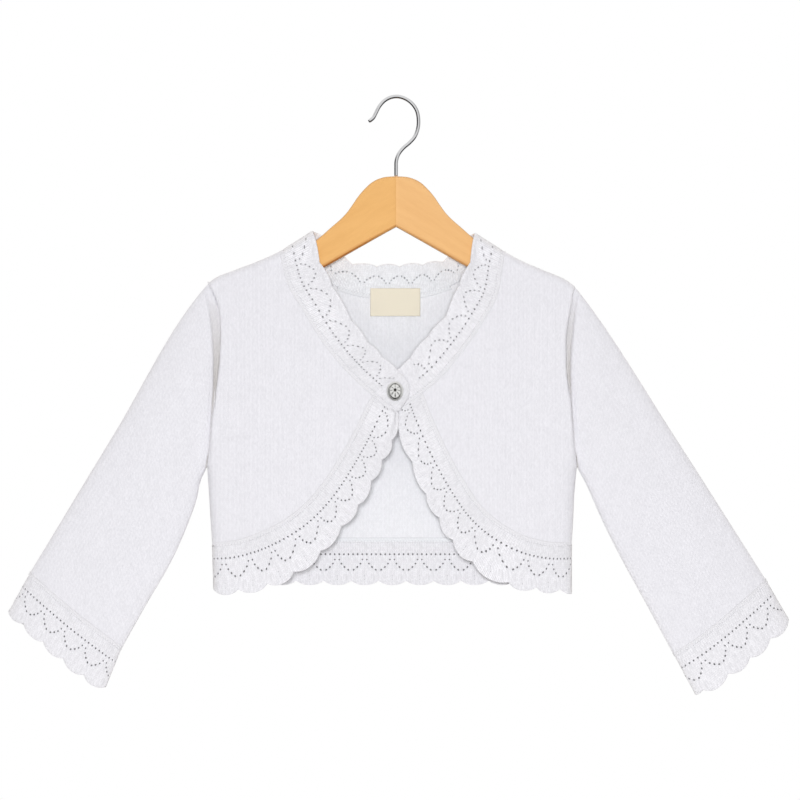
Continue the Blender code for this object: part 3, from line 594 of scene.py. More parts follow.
SLEEVE_CREASES = {
    "left": [(-160, -245, -196, -300, -0.6, 7.0), (-178, -240, -222, -318, 0.6, 9.0),
             (-226, -318, -262, -372, -0.5, 9.0), (-196, -352, -214, -398, 0.5, 8.0),
             (-166, -205, -184, -246, 0.5, 8.0)],
    "right": [(152, -240, 186, -298, 0.6, 9.0), (172, -228, 214, -300, -0.7, 8.0),
              (212, -312, 252, -372, 0.6, 10.0), (238, -316, 268, -362, -0.6, 8.0),
              (188, -352, 206, -396, 0.4, 8.0)],
}


def ring_stations():
    """Rings from the armhole to the cuff, closer together at the armhole."""
    rings = smooth(SLEEVE_RINGS)
    length = travelled(rings[:, :2] * FOLD_LENGTHS)
    t = np.linspace(0, 1, RING_COUNT)
    return read_off(length[-1] * (0.35 * t + 0.65 * t ** 2), length, rings)


def make_sleeve(side):
    sign = -1 if side == "left" else 1
    across = crowded(SLEEVE_COLUMNS, 0.9)
    share = across[:, None]
    armhole = at(smooth(ARMHOLE[side]), across)
    seam_x, seam_z = armhole[:, 0].copy(), armhole[:, 1].copy()
    armhole = armhole - (sign * SEAM_TUCK, 0)
    bulge = armhole - (armhole[0] * (1 - share) + armhole[-1] * share)
    outer, inner = smooth(SLEEVE_OUTER[side]), smooth(SLEEVE_INNER[side])
    squash = rolled(1 - np.abs(2 * across - 1))
    seam_depth = depth("front", armhole[:, 0], armhole[:, 1]) - SEAM_TUCK
    seam_depth[[0, -1]] = 0
    rings, maps, folds = [], [], []
    lean = math.radians(SLEEVE_WALES) * sign
    for outer_share, inner_share, full in ring_stations():
        freed = (sign * SEAM_TUCK * eased(outer_share / TUCK_FADE), 0)
        upper = armhole[0] + at(outer, [outer_share])[0] - outer[0] + freed
        lower = armhole[-1] + at(inner, [inner_share])[0] - inner[0] + freed
        fade = 1 - eased(outer_share / ARMHOLE_FADE)
        flat = upper * (1 - share) + lower * share + bulge * fade
        late = eased((outer_share - CUFF_DROP_FROM) / (1 - CUFF_DROP_FROM))
        drop = by_height(CUFF_DROP[side], across) * late
        flat = flat + drop[:, None] * CUFF_DROP_WAY * (sign, 1)
        free = np.sqrt(eased(outer_share / SEAM_FADE))
        y = seam_depth * (1 - free) + squash * full * free
        seam_at = np.interp(flat[:, 1], seam_z[::-1], seam_x[::-1])
        past = np.maximum(flat[:, 1] - seam_z[0], 0) + np.maximum(seam_z[-1] - flat[:, 1], 0)
        away = np.hypot(flat[:, 0] - seam_at, past)
        floor = np.minimum(np.maximum(squash, seam_depth / seam_depth.max())
                           * GROOVE_DEPTH, y)
        fold_at = by_height(FOLD_DISTANCE[side], flat[:, 1]) - FOLD_BEGINS
        over = rolled((away - fold_at) / FOLD_ROLL)
        full_y = np.maximum(y, squash * full * eased(away / FOLD_FULL))
        folded = floor + (full_y - floor) * over
        rise = creases(SLEEVE_CREASES[side], flat[:, 0], flat[:, 1]) * squash
        front, behind = raised(flat, -folded - rise), raised(flat, y + CREASE_BEHIND * rise)
        rings.append(np.vstack([front, behind[-2:0:-1]]))
        turned = np.stack([flat[:, 0] * math.cos(lean) - flat[:, 1] * math.sin(lean),
                           flat[:, 0] * math.sin(lean) + flat[:, 1] * math.cos(lean)],
                          axis=-1) / (WALE, COURSE)
        maps.append(np.vstack([turned, turned[-2:0:-1]]))
        # painted shade in the armhole groove, on the sleeve's front layer only
        under = (1 - over) * by_height(FOLD_SHADE, flat[:, 1])
        folds.append(np.concatenate([under, 0 * under[-2:0:-1]]))
    grid, stitches = np.stack(rings, axis=1), np.stack(maps, axis=1)
    piece = knit_sheet("knitted_sleeve_" + side, grid, stitches, jersey, closed=True,
                       fold=np.stack(folds, axis=1))
    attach(piece, "root")
    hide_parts("sleeve_" + side)
    return grid[:, -1]


wrists = {side: make_sleeve(side) for side in SHOULDER}

# ================================================================ lace bands
# Eyelet lace, knitted in strips and linked to every edge: a straight row of eyelets, which
# the back neck does without, a wave of eyelets, and one scallop to each repeat of eleven
# or twelve wales.
LACE_COLOUR = (0.91, 0.905, 0.932)
# the lace seen from inside, at the back neck and on the inner seams, is coloured lighter:
# painted light where it lies in shade
INNER_LACE_COLOUR_WITH_PAINTED_LIGHT = (0.945, 0.96, 0.985)
RIM = 0.34                       # width of the raised yarn round an eyelet
LACE_WALE, LACE_COURSE = 1.78, 1.35
CELL = 1.55                      # spacing of the lace mesh's own points
WAVE = [                         # its eyelets: how far from the scallop's centre, how far
    (0.081, 0.0, 0.60), (0.155, 0.40, 0.74),     # down the wave, and half the length
    (0.266, 0.73, 0.80), (0.402, 1.0, 0.82),
]
WAVE_HALF, WAVE_SLANT = 0.60, 42         # half the width of its eyelets, and their slant
ROW_EYELET, ROW_SLANTS = (0.74, 0.62), (70, 110, 85)
# painted shade: the pits of the eyelets are darkened, their edges partly, and the lone small
# eyelets less
DOT_EYELET, DOT_SHADE, DOT_REACH = (0.36, 0.32), 0.45, 0.8
PIT, PIT_DEPTH, PIT_EDGE_SHADE = -0.24, -0.62, 0.35      # its floor is this much smaller
SCALLOP_SWELL, EDGE_CORD, EDGE_FALL, SCALLOP_POWER = 0.22, 0.26, 0.30, 2.2
CHARTS = {     # width and depth of a repeat, scallop's rise, the row's share and distance,
               # the wave's nearest and farthest shares, its lone small eyelets
    "body": dict(width=21.7, depth=32.0, rise=3.4, row=0.32, row_out=10.5,
                 wave=(0.455, 0.715), dots=(0.856, 0.955)),
    "body_half": dict(width=21.7, depth=32.0, rise=3.4, row=0.32, row_out=10.5,
                      wave=(0.455, 0.715), dots=()),
    "cuff": dict(width=21.9, depth=32.0, rise=3.4, row=0.335, row_out=10.8,
                 wave=(0.475, 0.715), dots=()),
    # shade: how much of the painted shade the pits of a band's eyelets get
    "neck": dict(width=21.0, depth=26.0, rise=1.6, row=0.33, row_out=8.5,
                 wave=(0.46, 0.765), dots=(), shade=0.62),
    "back_neck": dict(width=19.5, depth=22.0, rise=2.2, row=None, row_out=6.6,
                      wave=(0.43, 0.66), dots=(), shade=0.6),
    "plain": dict(width=9.0, depth=26.0, rise=0.8, row=None, row_out=8.5, wave=None,
                  dots=()),
}
NECK_END = {"left": (1.0, -251.1), "right": (-4.2, -250.1)}
NECK_LACE = {                    # the notches: x, z, and the share of the seam behind them
    "left": [(-68.2, -105.8, 0.0), (-61.9, -131.5, 0.12), (-52.2, -150.1, 0.27),
             (-36.9, -177.4, 0.48), (-23.4, -195.3, 0.62), (-12.2, -206.8, 0.72),
             (1.6, -219.9, 0.84), (6.6, -224.5, 0.90), (9.4, -231.4, 0.95),
             (9.0, -239.7, 1.0)],
    "right": [(62.5, -107.4, 0.0), (58.2, -131.5, 0.12), (49.7, -149.9, 0.27),
              (38.6, -174.6, 0.47), (24.5, -190.9, 0.62), (9.9, -208.2, 0.76),
              (1.8, -216.0, 0.84), (-5.4, -220.5, 0.90), (-10.6, -227.7, 0.95),
              (-11.8, -238.1, 1.0)],
}
LOWER_LACE = {
    "left": [(1.2, -251.4, 0.0), (-4.2, -273.3, 0.13), (-12.1, -289.0, 0.22),
             (-20.6, -305.5, 0.31), (-31.0, -324.5, 0.41), (-44.5, -341.7, 0.52),
             (-61.0, -361.3, 0.63), (-82.3, -378.2, 0.74), (-103.4, -387.8, 0.82),
             (-126.5, -392.3, 0.905), (-147.4, -392.8, 1.0)],
    "right": [(-4.4, -250.4, 0.0), (1.0, -264.5, 0.08), (11.9, -290.2, 0.25),
              (22.9, -315.9, 0.38), (33.4, -334.9, 0.48), (44.2, -352.5, 0.57),
              (59.8, -369.8, 0.67), (88.6, -386.6, 0.79), (110.9, -390.8, 0.88),
              (129.7, -392.0, 0.96), (139.6, -392.4, 1.0)],
}
BACK_NECK_LACE = [(-68.2, -105.8, 0.0), (-53.0, -119.7, 0.15), (-36.2, -132.2, 0.30),
                  (-16.4, -134.2, 0.43), (2.0, -134.2, 0.525), (20.2, -133.0, 0.62),
                  (36.6, -130.4, 0.715), (50.2, -119.7, 0.85), (62.5, -107.4, 1.0)]
SLIP = {     # how far the pattern slips back along the band, in repeats: mark, near the
             # row and near the wave's far points
    "front_left": [(0.5, 0.3, 0.4), (1.5, 0.1, 0.1), (2.5, 0.1, 0.1), (3.5, 0.1, 0.05),
                   (4.5, 0.1, 0), (5.5, 0.17, 0), (7.0, 0.2, 0.02), (8.5, 0.12, 0.05),
                   (9.5, 0, 0)],
    "front_right": [(1, -0.05, -0.1), (2.5, 0.14, 0), (3.5, 0.2, 0.13), (4.5, 0.15, 0.13),
                    (5.5, 0.2, 0), (6.5, 0.22, 0.07), (7.5, 0.14, 0.1),
                    (8.5, 0.05, 0.05), (9.0, 0, 0)],
    "neck_left": [(0.5, -0.27, -0.27), (1.5, -0.2, -0.25), (2.5, -0.15, -0.2),
                  (3.5, -0.1, -0.18), (5.5, -0.1, -0.18)],
    "neck_right": [(0.5, -0.3, -0.3), (1.5, -0.28, -0.28), (2.5, -0.05, -0.03),
                   (3.5, 0, 0), (4.3, -0.12, -0.02), (5.0, -0.45, -0.15),
                   (6.0, -0.2, 0.0)],
}
HEM_SCALLOPS, HEM_LACE_DEPTH = 13, 32.0
CUFF_NOTCHES = {                 # shares of the way round the wrist, from its outer fold
    "left": [-0.015, 0.085, 0.189, 0.2985, 0.4035, 0.5, 0.597, 0.694, 0.791, 0.888,
             0.985],
    "right": [0.0, 0.116, 0.228, 0.340, 0.460, 0.575, 0.681, 0.787, 0.893, 1.0],
}
CUFF_EDGE = {                    # share of the way round, and x, z of the notch line
    "left": [(0, -311.0, -408.6), (0.085, -298.5, -419.6), (0.189, -282.5, -433.9),
             (0.2985, -266.6, -447.3), (0.4035, -250.2, -460.6), (0.5, -233.0, -471.3)],
    "right": [(0, 313.7, -416.9), (0.116, 297.8, -431.4), (0.228, 281.4, -446.6),
              (0.340, 264.2, -459.6), (0.460, 244.2, -473.1), (0.5, 236.5, -474.8)],
}
LACE_GAP, RUN_ON = 0.15, 0.06    # from the join, and past both ends in repeats
SLIP_ROWS, SLIP_FADE = (0.46, 0.26), (0.8, 0.2)      # where it changes and ends: from, over
GUIDE_ROWS = np.linspace(-0.12, 1.3, 40)         # the guide runs on past the lace

lace_yarn = knit_material("white eyelet lace", LACE_COLOUR, gaps=0.28, uneven=0.07,
                          ribs=0.04, bump=0.34)
inner_lace_with_painted_light = knit_material("wrong side of the lace", INNER_LACE_COLOUR_WITH_PAINTED_LIGHT, gaps=0.28,
                           uneven=0.07, ribs=0.04, bump=0.34)


def eyelets(chart):
    """One repeat's eyelets: x, y in millimetres, half length, half width and slant."""
    width, deep = chart["width"], chart["depth"]
    holes = []
    if chart["row"]:
        holes += [((i + 0.5) / 6 * width, chart["row"] * deep, *ROW_EYELET,
                   ROW_SLANTS[i % 3]) for i in range(6)]
    if chart["wave"]:
        high, low = chart["wave"]
        holes += [((0.5 + sign * out) * width, (high + (low - high) * drop) * deep, size,
                   WAVE_HALF, 90 - sign * WAVE_SLANT)
                  for out, drop, size in WAVE for sign in (-1, 1)]
    holes += [(0.5 * width, dot * deep, *DOT_EYELET, 90) for dot in chart["dots"]]
    return np.array(holes).reshape(-1, 5)


def make_repeat(name):
    """One repeat of the lace: seam at y = 0, notch line at y = 1, from x = 0 to 1.

    The half repeat, where the last scallop of a front turns in at the side, ends at its
    middle and is stretched to fill x = 0 to 1."""
    chart = CHARTS[name]
    width, deep = chart["width"], chart["depth"]
    last = width / 2 if name.endswith("half") else width
    columns = max(4, round(last / CELL))
    x_line = np.linspace(0, last, columns + 1)
    y_line = np.linspace(0, deep, round(deep / CELL) + 1)

    def scallop(x):
        return chart["rise"] * (1 - np.abs(2 * x / width - 1) ** SCALLOP_POWER)

    def edge_y(x):
        return deep + scallop(x)

    end = edge_y(last)
    outline = ([(x, 0.0) for x in x_line]
               + [(last, y * end / deep) for y in y_line[1:]]
               + [(x, edge_y(x)) for x in x_line[-2:0:-1]]
               + [(0.0, y) for y in y_line[:0:-1]])
    holes = eyelets(chart)
    holes = holes[holes[:, 0] < last - 0.8]
    inside = []
    for j, y in enumerate(np.arange(CELL, deep + chart["rise"], CELL * 0.9)):
        shift = 0.5 if j % 2 else 0.0
        for i in range(columns):
            x = (i + 0.5 + shift) * last / columns
            if CELL * 0.5 < x < last - CELL * 0.5 and y < edge_y(x) - CELL * 1.2:
                inside.append((x, y))
    for back in (0.45, 1.1):
        inside += [(x, edge_y(x) - back) for x in x_line[1:-1]]
    inside = np.array(inside)
    rings = []                   # points, height and painted shade of the yarn's rim, edge and pit
    if len(holes):
        apart = np.linalg.norm(inside[:, None] - holes[None, :, :2], axis=2)
        inside = inside[(apart > RIM + 0.4 + holes[None, :, 2] - 0.7).all(axis=1)]
        turns = np.arange(8) * math.tau / 8
        slant = np.radians(holes[:, 4])[:, None]
        shade = chart.get("shade", 1.0)
        for grow, height, dark in ((RIM, 0.16, 0.0), (0.0, -0.10, PIT_EDGE_SHADE * shade),
                                   (PIT, PIT_DEPTH, shade)):
            long = (holes[:, 2] + grow)[:, None] * np.cos(turns)
            short = (holes[:, 3] + grow)[:, None] * np.sin(turns)
            x = holes[:, :1] + long * np.cos(slant) - short * np.sin(slant)
            y = holes[:, 1:2] + long * np.sin(slant) + short * np.cos(slant)
            rings.append((np.stack([x, y], axis=-1).reshape(-1, 2), height, dark))
    points = np.vstack([outline, inside] + [ring[0] for ring in rings])
    border = [(i, (i + 1) % len(outline)) for i in range(len(outline))]
    flat, _, faces, came_from, _, _ = delaunay_2d_cdt(points.tolist(), border, [], 1, 1e-5)
    flat = np.array([tuple(p) for p in flat])
    faces = np.array([tuple(f) for f in faces])

    def carried(k):
        """A value of the rings, for each point of the finished net."""
        given = np.concatenate([np.zeros(len(outline) + len(inside))]
                               + [np.full(len(ring[0]), ring[k]) for ring in rings])
        return np.array([given[source[0]] if source else 0.0 for source in came_from])

    sunk, dark = carried(1), carried(2)
    a, b, c = (flat[faces[:, k]] for k in range(3))
    turn = (b - a)[:, 0] * (c - a)[:, 1] - (b - a)[:, 1] * (c - a)[:, 0]
    faces = np.where((turn < 0)[:, None], faces[:, ::-1], faces)

    x, y = flat.T
    to_edge = edge_y(x) - y
    swell = eased((y / deep - 0.3) / 0.4)
    rise = SCALLOP_SWELL * np.cos(math.tau * (x / width - 0.5)) * swell
    rise += (EDGE_CORD * np.exp(-((to_edge - 1.1) / 0.6) ** 2)
             - EDGE_FALL * eased(1 - to_edge / 0.45))
    rise += sunk
    # the lone small eyelets get less of the painted shade
    for spot in chart["dots"]:
        on_dot = np.hypot(x - width / 2, y - spot * deep) < DOT_REACH
        dark = dark * np.where(on_dot, DOT_SHADE, 1.0)
    count = len(flat)
    top = np.stack([x / last, y / deep, rise * MM], axis=-1)
    under = np.stack([x / last, y / deep, -(WALL + rise) * MM], axis=-1)
    edges = {(int(face[k]), int(face[(k + 1) % 3])): None for face in faces for k in range(3)}
    walls = [(q, p, p + count, q + count) for p, q in edges if (q, p) not in edges
             and abs(x[p]) + abs(x[q]) >= 1e-3
             and abs(x[p] - last) + abs(x[q] - last) >= 1e-3]
    mesh = bpy.data.meshes.new("lace repeat, " + name)
    mesh.from_pydata(np.vstack([top, under]).tolist(), [],
                     faces.tolist() + (faces[:, ::-1] + count).tolist() + walls)
    # painted shade in the pits of the eyelets, for the material to read
    mark_points(mesh, "eyelet", [dark, dark])
    course = (y - scallop(x) * eased((y / deep - 0.45) / 0.4)) / LACE_COURSE
    wales = round(width / LACE_WALE)
    lay_map(mesh, "stitches", np.tile(np.stack([wales * x / width, course], axis=-1), (2, 1)))
    return bpy.data.objects.new("lace repeat, " + name, mesh)


def repeat_tree():
    """Lays repeats of a flat unit side by side and wraps them over the guide."""
    tree = bpy.data.node_groups.new("Repeats along a guide", "GeometryNodeTree")
    for name, kind in (("Guide", "Geometry"), ("Repeat", "Object"), ("Repeats", "Int"),
                       ("End repeat", "Object"), ("End repeats", "Int"),
                       ("Weld distance", "Float"), ("Yarn", "Material")):
        tree.interface.new_socket(name, in_out="INPUT", socket_type="NodeSocket" + kind)
    tree.interface.new_socket("Lace", in_out="OUTPUT", socket_type="NodeSocketGeometry")
    add, _, _ = node_tools(tree)
    given = add("NodeGroupInput", output=None)

    def laid_out(unit, count, start):
        begin = add("ShaderNodeCombineXYZ", {"X": start})
        line = add("GeometryNodeMeshLine", {"Count": count, "Offset": (1, 0, 0),
                                            "Start Location": begin}, "Mesh")
        shape = add("GeometryNodeObjectInfo", {"Object": unit}, "Geometry")
        return add("GeometryNodeInstanceOnPoints", {"Points": line, "Instance": shape},
                   "Instances")

    both = tree.nodes.new("GeometryNodeJoinGeometry")
    for row in (laid_out(given["Repeat"], given["Repeats"], 0.0),
                laid_out(given["End repeat"], given["End repeats"], given["Repeats"])):
        tree.links.new(row, both.inputs[0])
    real = add("GeometryNodeRealizeInstances", [both.outputs[0]])
    weld = add("GeometryNodeMergeByDistance", {"Geometry": real,
                                               "Distance": given["Weld distance"]})
    x, y, z = add("ShaderNodeSeparateXYZ", [add("GeometryNodeInputPosition")], None)
    flat = add("ShaderNodeCombineXYZ", [x, y])
    laid = add("GeometryNodeInputNamedAttribute", {"Name": "laid"}, "Attribute",
               data_type="FLOAT_VECTOR")

    def read_guide(value):
        return add("GeometryNodeSampleUVSurface",
                   {"Mesh": given["Guide"], "Value": value, "UV Map": laid,
                    "Sample UV": flat}, "Value", data_type="FLOAT_VECTOR")

    up = add("ShaderNodeVectorMath",
             {0: read_guide(add("GeometryNodeInputNormal")), "Scale": z}, operation="SCALE")
    there = add("ShaderNodeVectorMath",
                [read_guide(add("GeometryNodeInputPosition")), up], operation="ADD")
    move = add("GeometryNodeSetPosition", {"Geometry": weld, "Position": there})
    close = add("GeometryNodeMergeByDistance", {"Geometry": move, "Distance": 2e-5})
    soft = add("GeometryNodeSetShadeSmooth", {"Geometry": close})
    finish = add("GeometryNodeSetMaterial", {"Geometry": soft, "Material": given["Yarn"]})
    plug(tree.nodes.new("NodeGroupOutput"), [finish])
    return tree


repeats = repeat_tree()
units = {name: make_repeat(name) for name in CHARTS}


def wrap(name, guide, marks, material, unit, count, end_unit=None, end_count=0,
         inward=False):
    """Runs the tree on a guide grid (mm) whose marks give repeats and depth shares."""
    faces = outer_faces(guide, numbered(guide), inward).tolist()
    mesh = new_mesh(name + " guide", guide, faces)
    mesh.shade_smooth()
    laid = mesh.attributes.new("laid", "FLOAT2", "CORNER")
    laid.data.foreach_set("vector", at_corners(mesh, marks))
    carrier = put(name + " guide", mesh)
    knit = carrier.modifiers.new("Repeats", "NODES")
    knit.node_group = repeats
    given = {"Repeat": unit, "Repeats": count, "End repeat": end_unit or unit,
             "End repeats": end_count, "Weld distance": 1e-4, "Yarn": material}
    for socket in repeats.interface.items_tree:
        if socket.name in given:
            knit[socket.identifier] = given[socket.name]
    seen = bpy.context.evaluated_depsgraph_get()
    finished = bpy.data.meshes.new_from_object(carrier.evaluated_get(seen),
                                               preserve_all_data_layers=True,
                                               depsgraph=seen)
    bpy.data.objects.remove(carrier)
    shape = bmesh.new()
    shape.from_mesh(finished)
    ends = [edge for edge in shape.edges if edge.is_boundary]
    if ends:
        bmesh.ops.holes_fill(shape, edges=ends, sides=0)
    if shape.calc_volume(signed=True) < 0:
        bmesh.ops.reverse_faces(shape, faces=shape.faces[:])
    shape.to_mesh(finished)
    shape.free()
    finished.name = name
    finished.materials.clear()
    finished.materials.append(material)
    return put(name, finished)


def stations(count, per_repeat=8):
    """Marks along a band: a little before the first repeat to a little past the last."""
    return np.concatenate([[-RUN_ON], np.linspace(0, count, count * per_repeat + 1),
                           [count + RUN_ON]])


def marked(marks, rows):
    """Marks along a band and places across it, for every point of its guide."""
    return np.stack(np.broadcast_arrays(marks[:, None], rows[None, :]), axis=-1)


def band_reach(length, rows, chart):
    """How far from the seam each share of the depth lies; the eyelet row keeps its own."""
    row = chart["row"] or 0.3
    kept = np.minimum(chart["row_out"], 0.45 * length)
    near = LACE_GAP + (kept - LACE_GAP) * rows[None] / row
    far = kept + (length - kept) * (rows[None] - row) / (1 - row)
    return np.where(rows[None] < row, near, far)


def slipped(marks, row, table):
    """Marks moved back along the band by its slip at one share of the depth."""
    where, near, far = zip(*table)
    near, far = np.interp(marks, where, near), np.interp(marks, where, far)
    share = np.clip((row - SLIP_ROWS[0]) / SLIP_ROWS[1], 0, 1)
    fade = 1 - eased((row - SLIP_FADE[0]) / SLIP_FADE[1])
    ends = eased(marks / 0.5) * eased((marks[-1] - marks) / 0.5)
    return marks - (near * (1 - share) + far * share) * fade * ends


def band_guide(rail, edge, y_of, chart, slip=((0, 0, 0), (1, 0, 0))):
    """Guide of a flat band, from a panel's seam line (rail) out to its notches."""
    edge = np.array(edge)
    last = len(edge) - 1
    marks = stations(last)
    shares = smooth(np.stack([np.arange(last + 1.0) * 0.1, edge[:, 2]], axis=-1))
    share = np.interp(marks, shares[:, 0] * 10, shares[:, 1])
    seam = at(rail, share)
    fine = smooth(edge[:, :2])
    outer = read_off(marks, np.linspace(0, last, len(fine)), fine)
    for line in (seam, outer):
        line[0] = line[1] + (line[1] - line[2]) * 0.5
        line[-1] = line[-2] + (line[-2] - line[-3]) * 0.5
    way = outer - seam
    length = np.linalg.norm(way, axis=1, keepdims=True)
    reach = band_reach(length, GUIDE_ROWS, chart) / length
    flat = seam[:, None] + way[:, None] * reach[..., None]
    for j, row in enumerate(GUIDE_ROWS):
        flat[:, j] = read_off(slipped(marks, row, slip), marks, flat[:, j])
    return raised(flat, y_of(flat[..., 0], flat[..., 1])), marked(marks, GUIDE_ROWS)


def finish_lace(node, *band):
    """Wraps one band of lace, attaches it and hides the imported part."""
    piece = wrap(node.replace("lace_", "lace_band_"), *band)
    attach(piece, "root")
    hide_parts(node)
    where = node[len("lace_"):]
    chart = CHARTS["back_neck" if where == "neck_back" else
                   "neck" if "neck" in where else "body"]


def neck_rail(side):
    """The front's neck seam, carried on past its tip along the button tab."""
    return np.vstack([smooth(NECK_SEAM[side]), [NECK_END[side]]])


def up_to_shoulder(x, z):
    """The bands' straight ends lie a little below the shoulder line, and close on it."""
    for side in SHOULDER:
        (x0, z0), (x1, z1) = NECK_SEAM[side][0], NECK_LACE[side][0][:2]
        end = z0 + (z1 - z0) * (x - x0) / (x1 - x0)
        lift = np.maximum(shoulder_z(x) - end, 0) + 0.02
        z = np.where((x - x0) * (x - x1) < 0, z + lift, z)
    return z


for side in SHOULDER:
    layer = partial(front_y, side)
    grid, marks = band_guide(neck_rail(side), NECK_LACE[side],
                             lambda x, z: layer(x, up_to_shoulder(x, z)),
                             CHARTS["neck"], SLIP["neck_" + side])
    patterned = 6 if side == "left" else 5
    finish_lace("lace_neck_" + side, grid, marks, lace_yarn, units["neck"], patterned,
                units["plain"], 9 - patterned)
    grid, marks = band_guide(smooth(LOWER_SEAM[side]), LOWER_LACE[side], layer,
                             CHARTS["body"], SLIP["front_" + side])
    whole = 10 if side == "left" else 9
    finish_lace("lace_front_" + side, grid, marks, lace_yarn, units["body"], whole,
                units["body_half"], 10 - whole)

grid, marks = band_guide(smooth(BACK_NECK_SEAM), BACK_NECK_LACE,
                         lambda x, z: back_y(x, up_to_shoulder(x, z)), CHARTS["back_neck"])
finish_lace("lace_neck_back", grid, marks, inner_lace_with_painted_light, units["back_neck"], 8)


def hem_rows():
    """The notches of the straight hem, as in the tables of the other bands."""
    low = HEM_SEAM_Z - HEM_LACE_DEPTH
    shares = np.linspace(0, 1, HEM_SCALLOPS + 1)
    left, right = side_x("left", low) + EDGE_STEP, side_x("right", low) - EDGE_STEP
    return [(left + (right - left) * share, low, share) for share in shares]


hem_rail = np.array([(side_x("left", HEM_SEAM_Z) + EDGE_STEP, HEM_SEAM_Z),
                     (side_x("right", HEM_SEAM_Z) - EDGE_STEP, HEM_SEAM_Z)])
grid, marks = band_guide(hem_rail, hem_rows(), back_y, CHARTS["body"])
finish_lace("lace_hem_back", grid, marks, lace_yarn, units["body"], HEM_SCALLOPS)


def around(ring, shares):
    """Points of a closed ring at shares of the way round it."""
    return at(np.vstack([ring, ring[:1]]), np.asarray(shares) % 1.0)


def cuff_guide(side):
    """Guide of a cuff, from the sleeve's last ring out to its notches all round."""
    wrist = wrists[side]
    edge = np.array(CUFF_EDGE[side])
    notches = CUFF_NOTCHES[side]
    count = len(notches) - 1
    marks = stations(count)
    place = np.interp(marks, range(count + 1), notches)
    spacing = np.diff(notches).mean()
    place[[0, -1]] = place[[1, -2]] + np.array([-RUN_ON, RUN_ON]) * spacing
    first = around(wrist, place)
    turn = place % 1.0
    fine = smooth(edge)
    front = read_off(turn, fine[:, 0], fine[:, 1:])
    behind = edge[-1, 1:] + (edge[0, 1:] - edge[-1, 1:]) * ((turn - 0.5) / 0.5)[:, None]
    last = np.where((turn < 0.5)[:, None], front, behind)
    last = np.stack([last[:, 0], first[:, 1], last[:, 1]], axis=-1)
    length = np.linalg.norm(last - first, axis=1, keepdims=True)
    reach = band_reach(length, GUIDE_ROWS, CHARTS["cuff"]) / length
    grid = first[:, None] + (last - first)[:, None] * reach[..., None]
    return grid, marked(marks, GUIDE_ROWS), count


for side in SHOULDER:
    grid, marks, count = cuff_guide(side)
    finish_lace("lace_cuff_" + side, grid, marks, lace_yarn, units["cuff"], count)

# ================================================================ seams
# The lace is linked on with a double ridge of stitches, one on the join itself and one on
# the panel beside it. The sleeves are linked in with a single narrow ridge, seen from behind.
SEAM_STITCH = 2.4                # length of one linking stitch
SEAM_ACROSS = np.array([-3.3, -2.75, -2.3, -1.85, -1.2, -0.55, -0.1, 0.35, 0.9])
SEAM_RIDGES = (-2.3, -0.1)       # lines of the two ridges, from the join
SEAM_GROUND, SEAM_EDGE = 0.04, 0.75      # height between them, and how far the edges sink
# SEAM_SHADE is painted shade on the flanks beside the ridges
RIDGE_HEIGHT, RIDGE_HALF, RIDGE_BEADS, SEAM_SHADE = 0.45, 0.5, 0.28, 0.09
ARMHOLE_ACROSS = np.array([-1.0, -0.55, -0.2, 0.2, 0.55, 1.0])
ARMHOLE_RISE = np.array([-0.3, 0.15, 0.42, 0.42, 0.15, -0.3])
ARMHOLE_BEADS = np.array([[0.6], [1.0], [0.6]])
GUIDE_FROM, GUIDE_TO = -4.4, 2.0         # the guide is wider than the ridges


def make_stitch(name, across, rise, under, wales, shade=None):
    """One stitch of a seam: from x = 0 to 1, y in millimetres across the join."""
    x, y = np.meshgrid([0.0, 0.5, 1.0], across, indexing="ij")
    number, count = numbered(x), x.size
    top = grid_faces(number)
    walls = [(q, p, p + count, q + count) for line in (number[:, 0], number[::-1, -1])
             for p, q in zip(line, line[1:])]
    both = [np.stack([x, y, 0 * x + height * MM], axis=-1).reshape(-1, 3)
            for height in (rise, under)]
    mesh = bpy.data.meshes.new(name)
    mesh.from_pydata(np.vstack(both).tolist(), [],
                     np.vstack([top, top[:, ::-1] + count, walls]).tolist())
    lay_map(mesh, "stitches", np.tile(np.stack([x * wales, y / COURSE], axis=-1), (2, 1, 1)))
    if shade is not None:
        mark_points(mesh, "fold", [shade + 0 * x] * 2)
    return bpy.data.objects.new(name, mesh)


ridges = sum(np.exp(-((SEAM_ACROSS - line) / RIDGE_HALF) ** 4) for line in SEAM_RIDGES)
beads = 1 - RIDGE_BEADS + RIDGE_BEADS * np.array([[1.0], [-1.0], [1.0]])
ground = np.full(len(SEAM_ACROSS), SEAM_GROUND)
ground[[0, -1]] -= SEAM_EDGE
seam_stitch = make_stitch("seam stitch", SEAM_ACROSS, RIDGE_HEIGHT * ridges * beads + ground,
                          under=-0.9, wales=1.5, shade=SEAM_SHADE * (1 - ridges))
armhole_stitch = make_stitch("armhole stitch", ARMHOLE_ACROSS, ARMHOLE_RISE * ARMHOLE_BEADS,
                             under=-0.8, wales=1.0)


def seam_guide(line, y_of, panel_side):
    """A strip of the cloth's surface along a flat line; panel_side is a flat point."""
    fine = at(line, np.linspace(0, 1, 90))
    way = np.gradient(fine, axis=0)
    way = way / np.linalg.norm(way, axis=1, keepdims=True)
    out = np.stack([-way[:, 1], way[:, 0]], axis=-1)
    middle = len(fine) // 2
    if np.dot(out[middle], np.array(panel_side) - fine[middle]) > 0:
        out = -out
    across = np.linspace(GUIDE_FROM, GUIDE_TO, 13)
    flat = fine[:, None] + out[:, None] * across[None, :, None]
    grid = raised(flat, y_of(flat[..., 0], flat[..., 1]))
    count = int(travelled(fine)[-1] / SEAM_STITCH) - 1
    return grid, marked(np.linspace(-0.5, count + 0.5, len(fine)), across), count


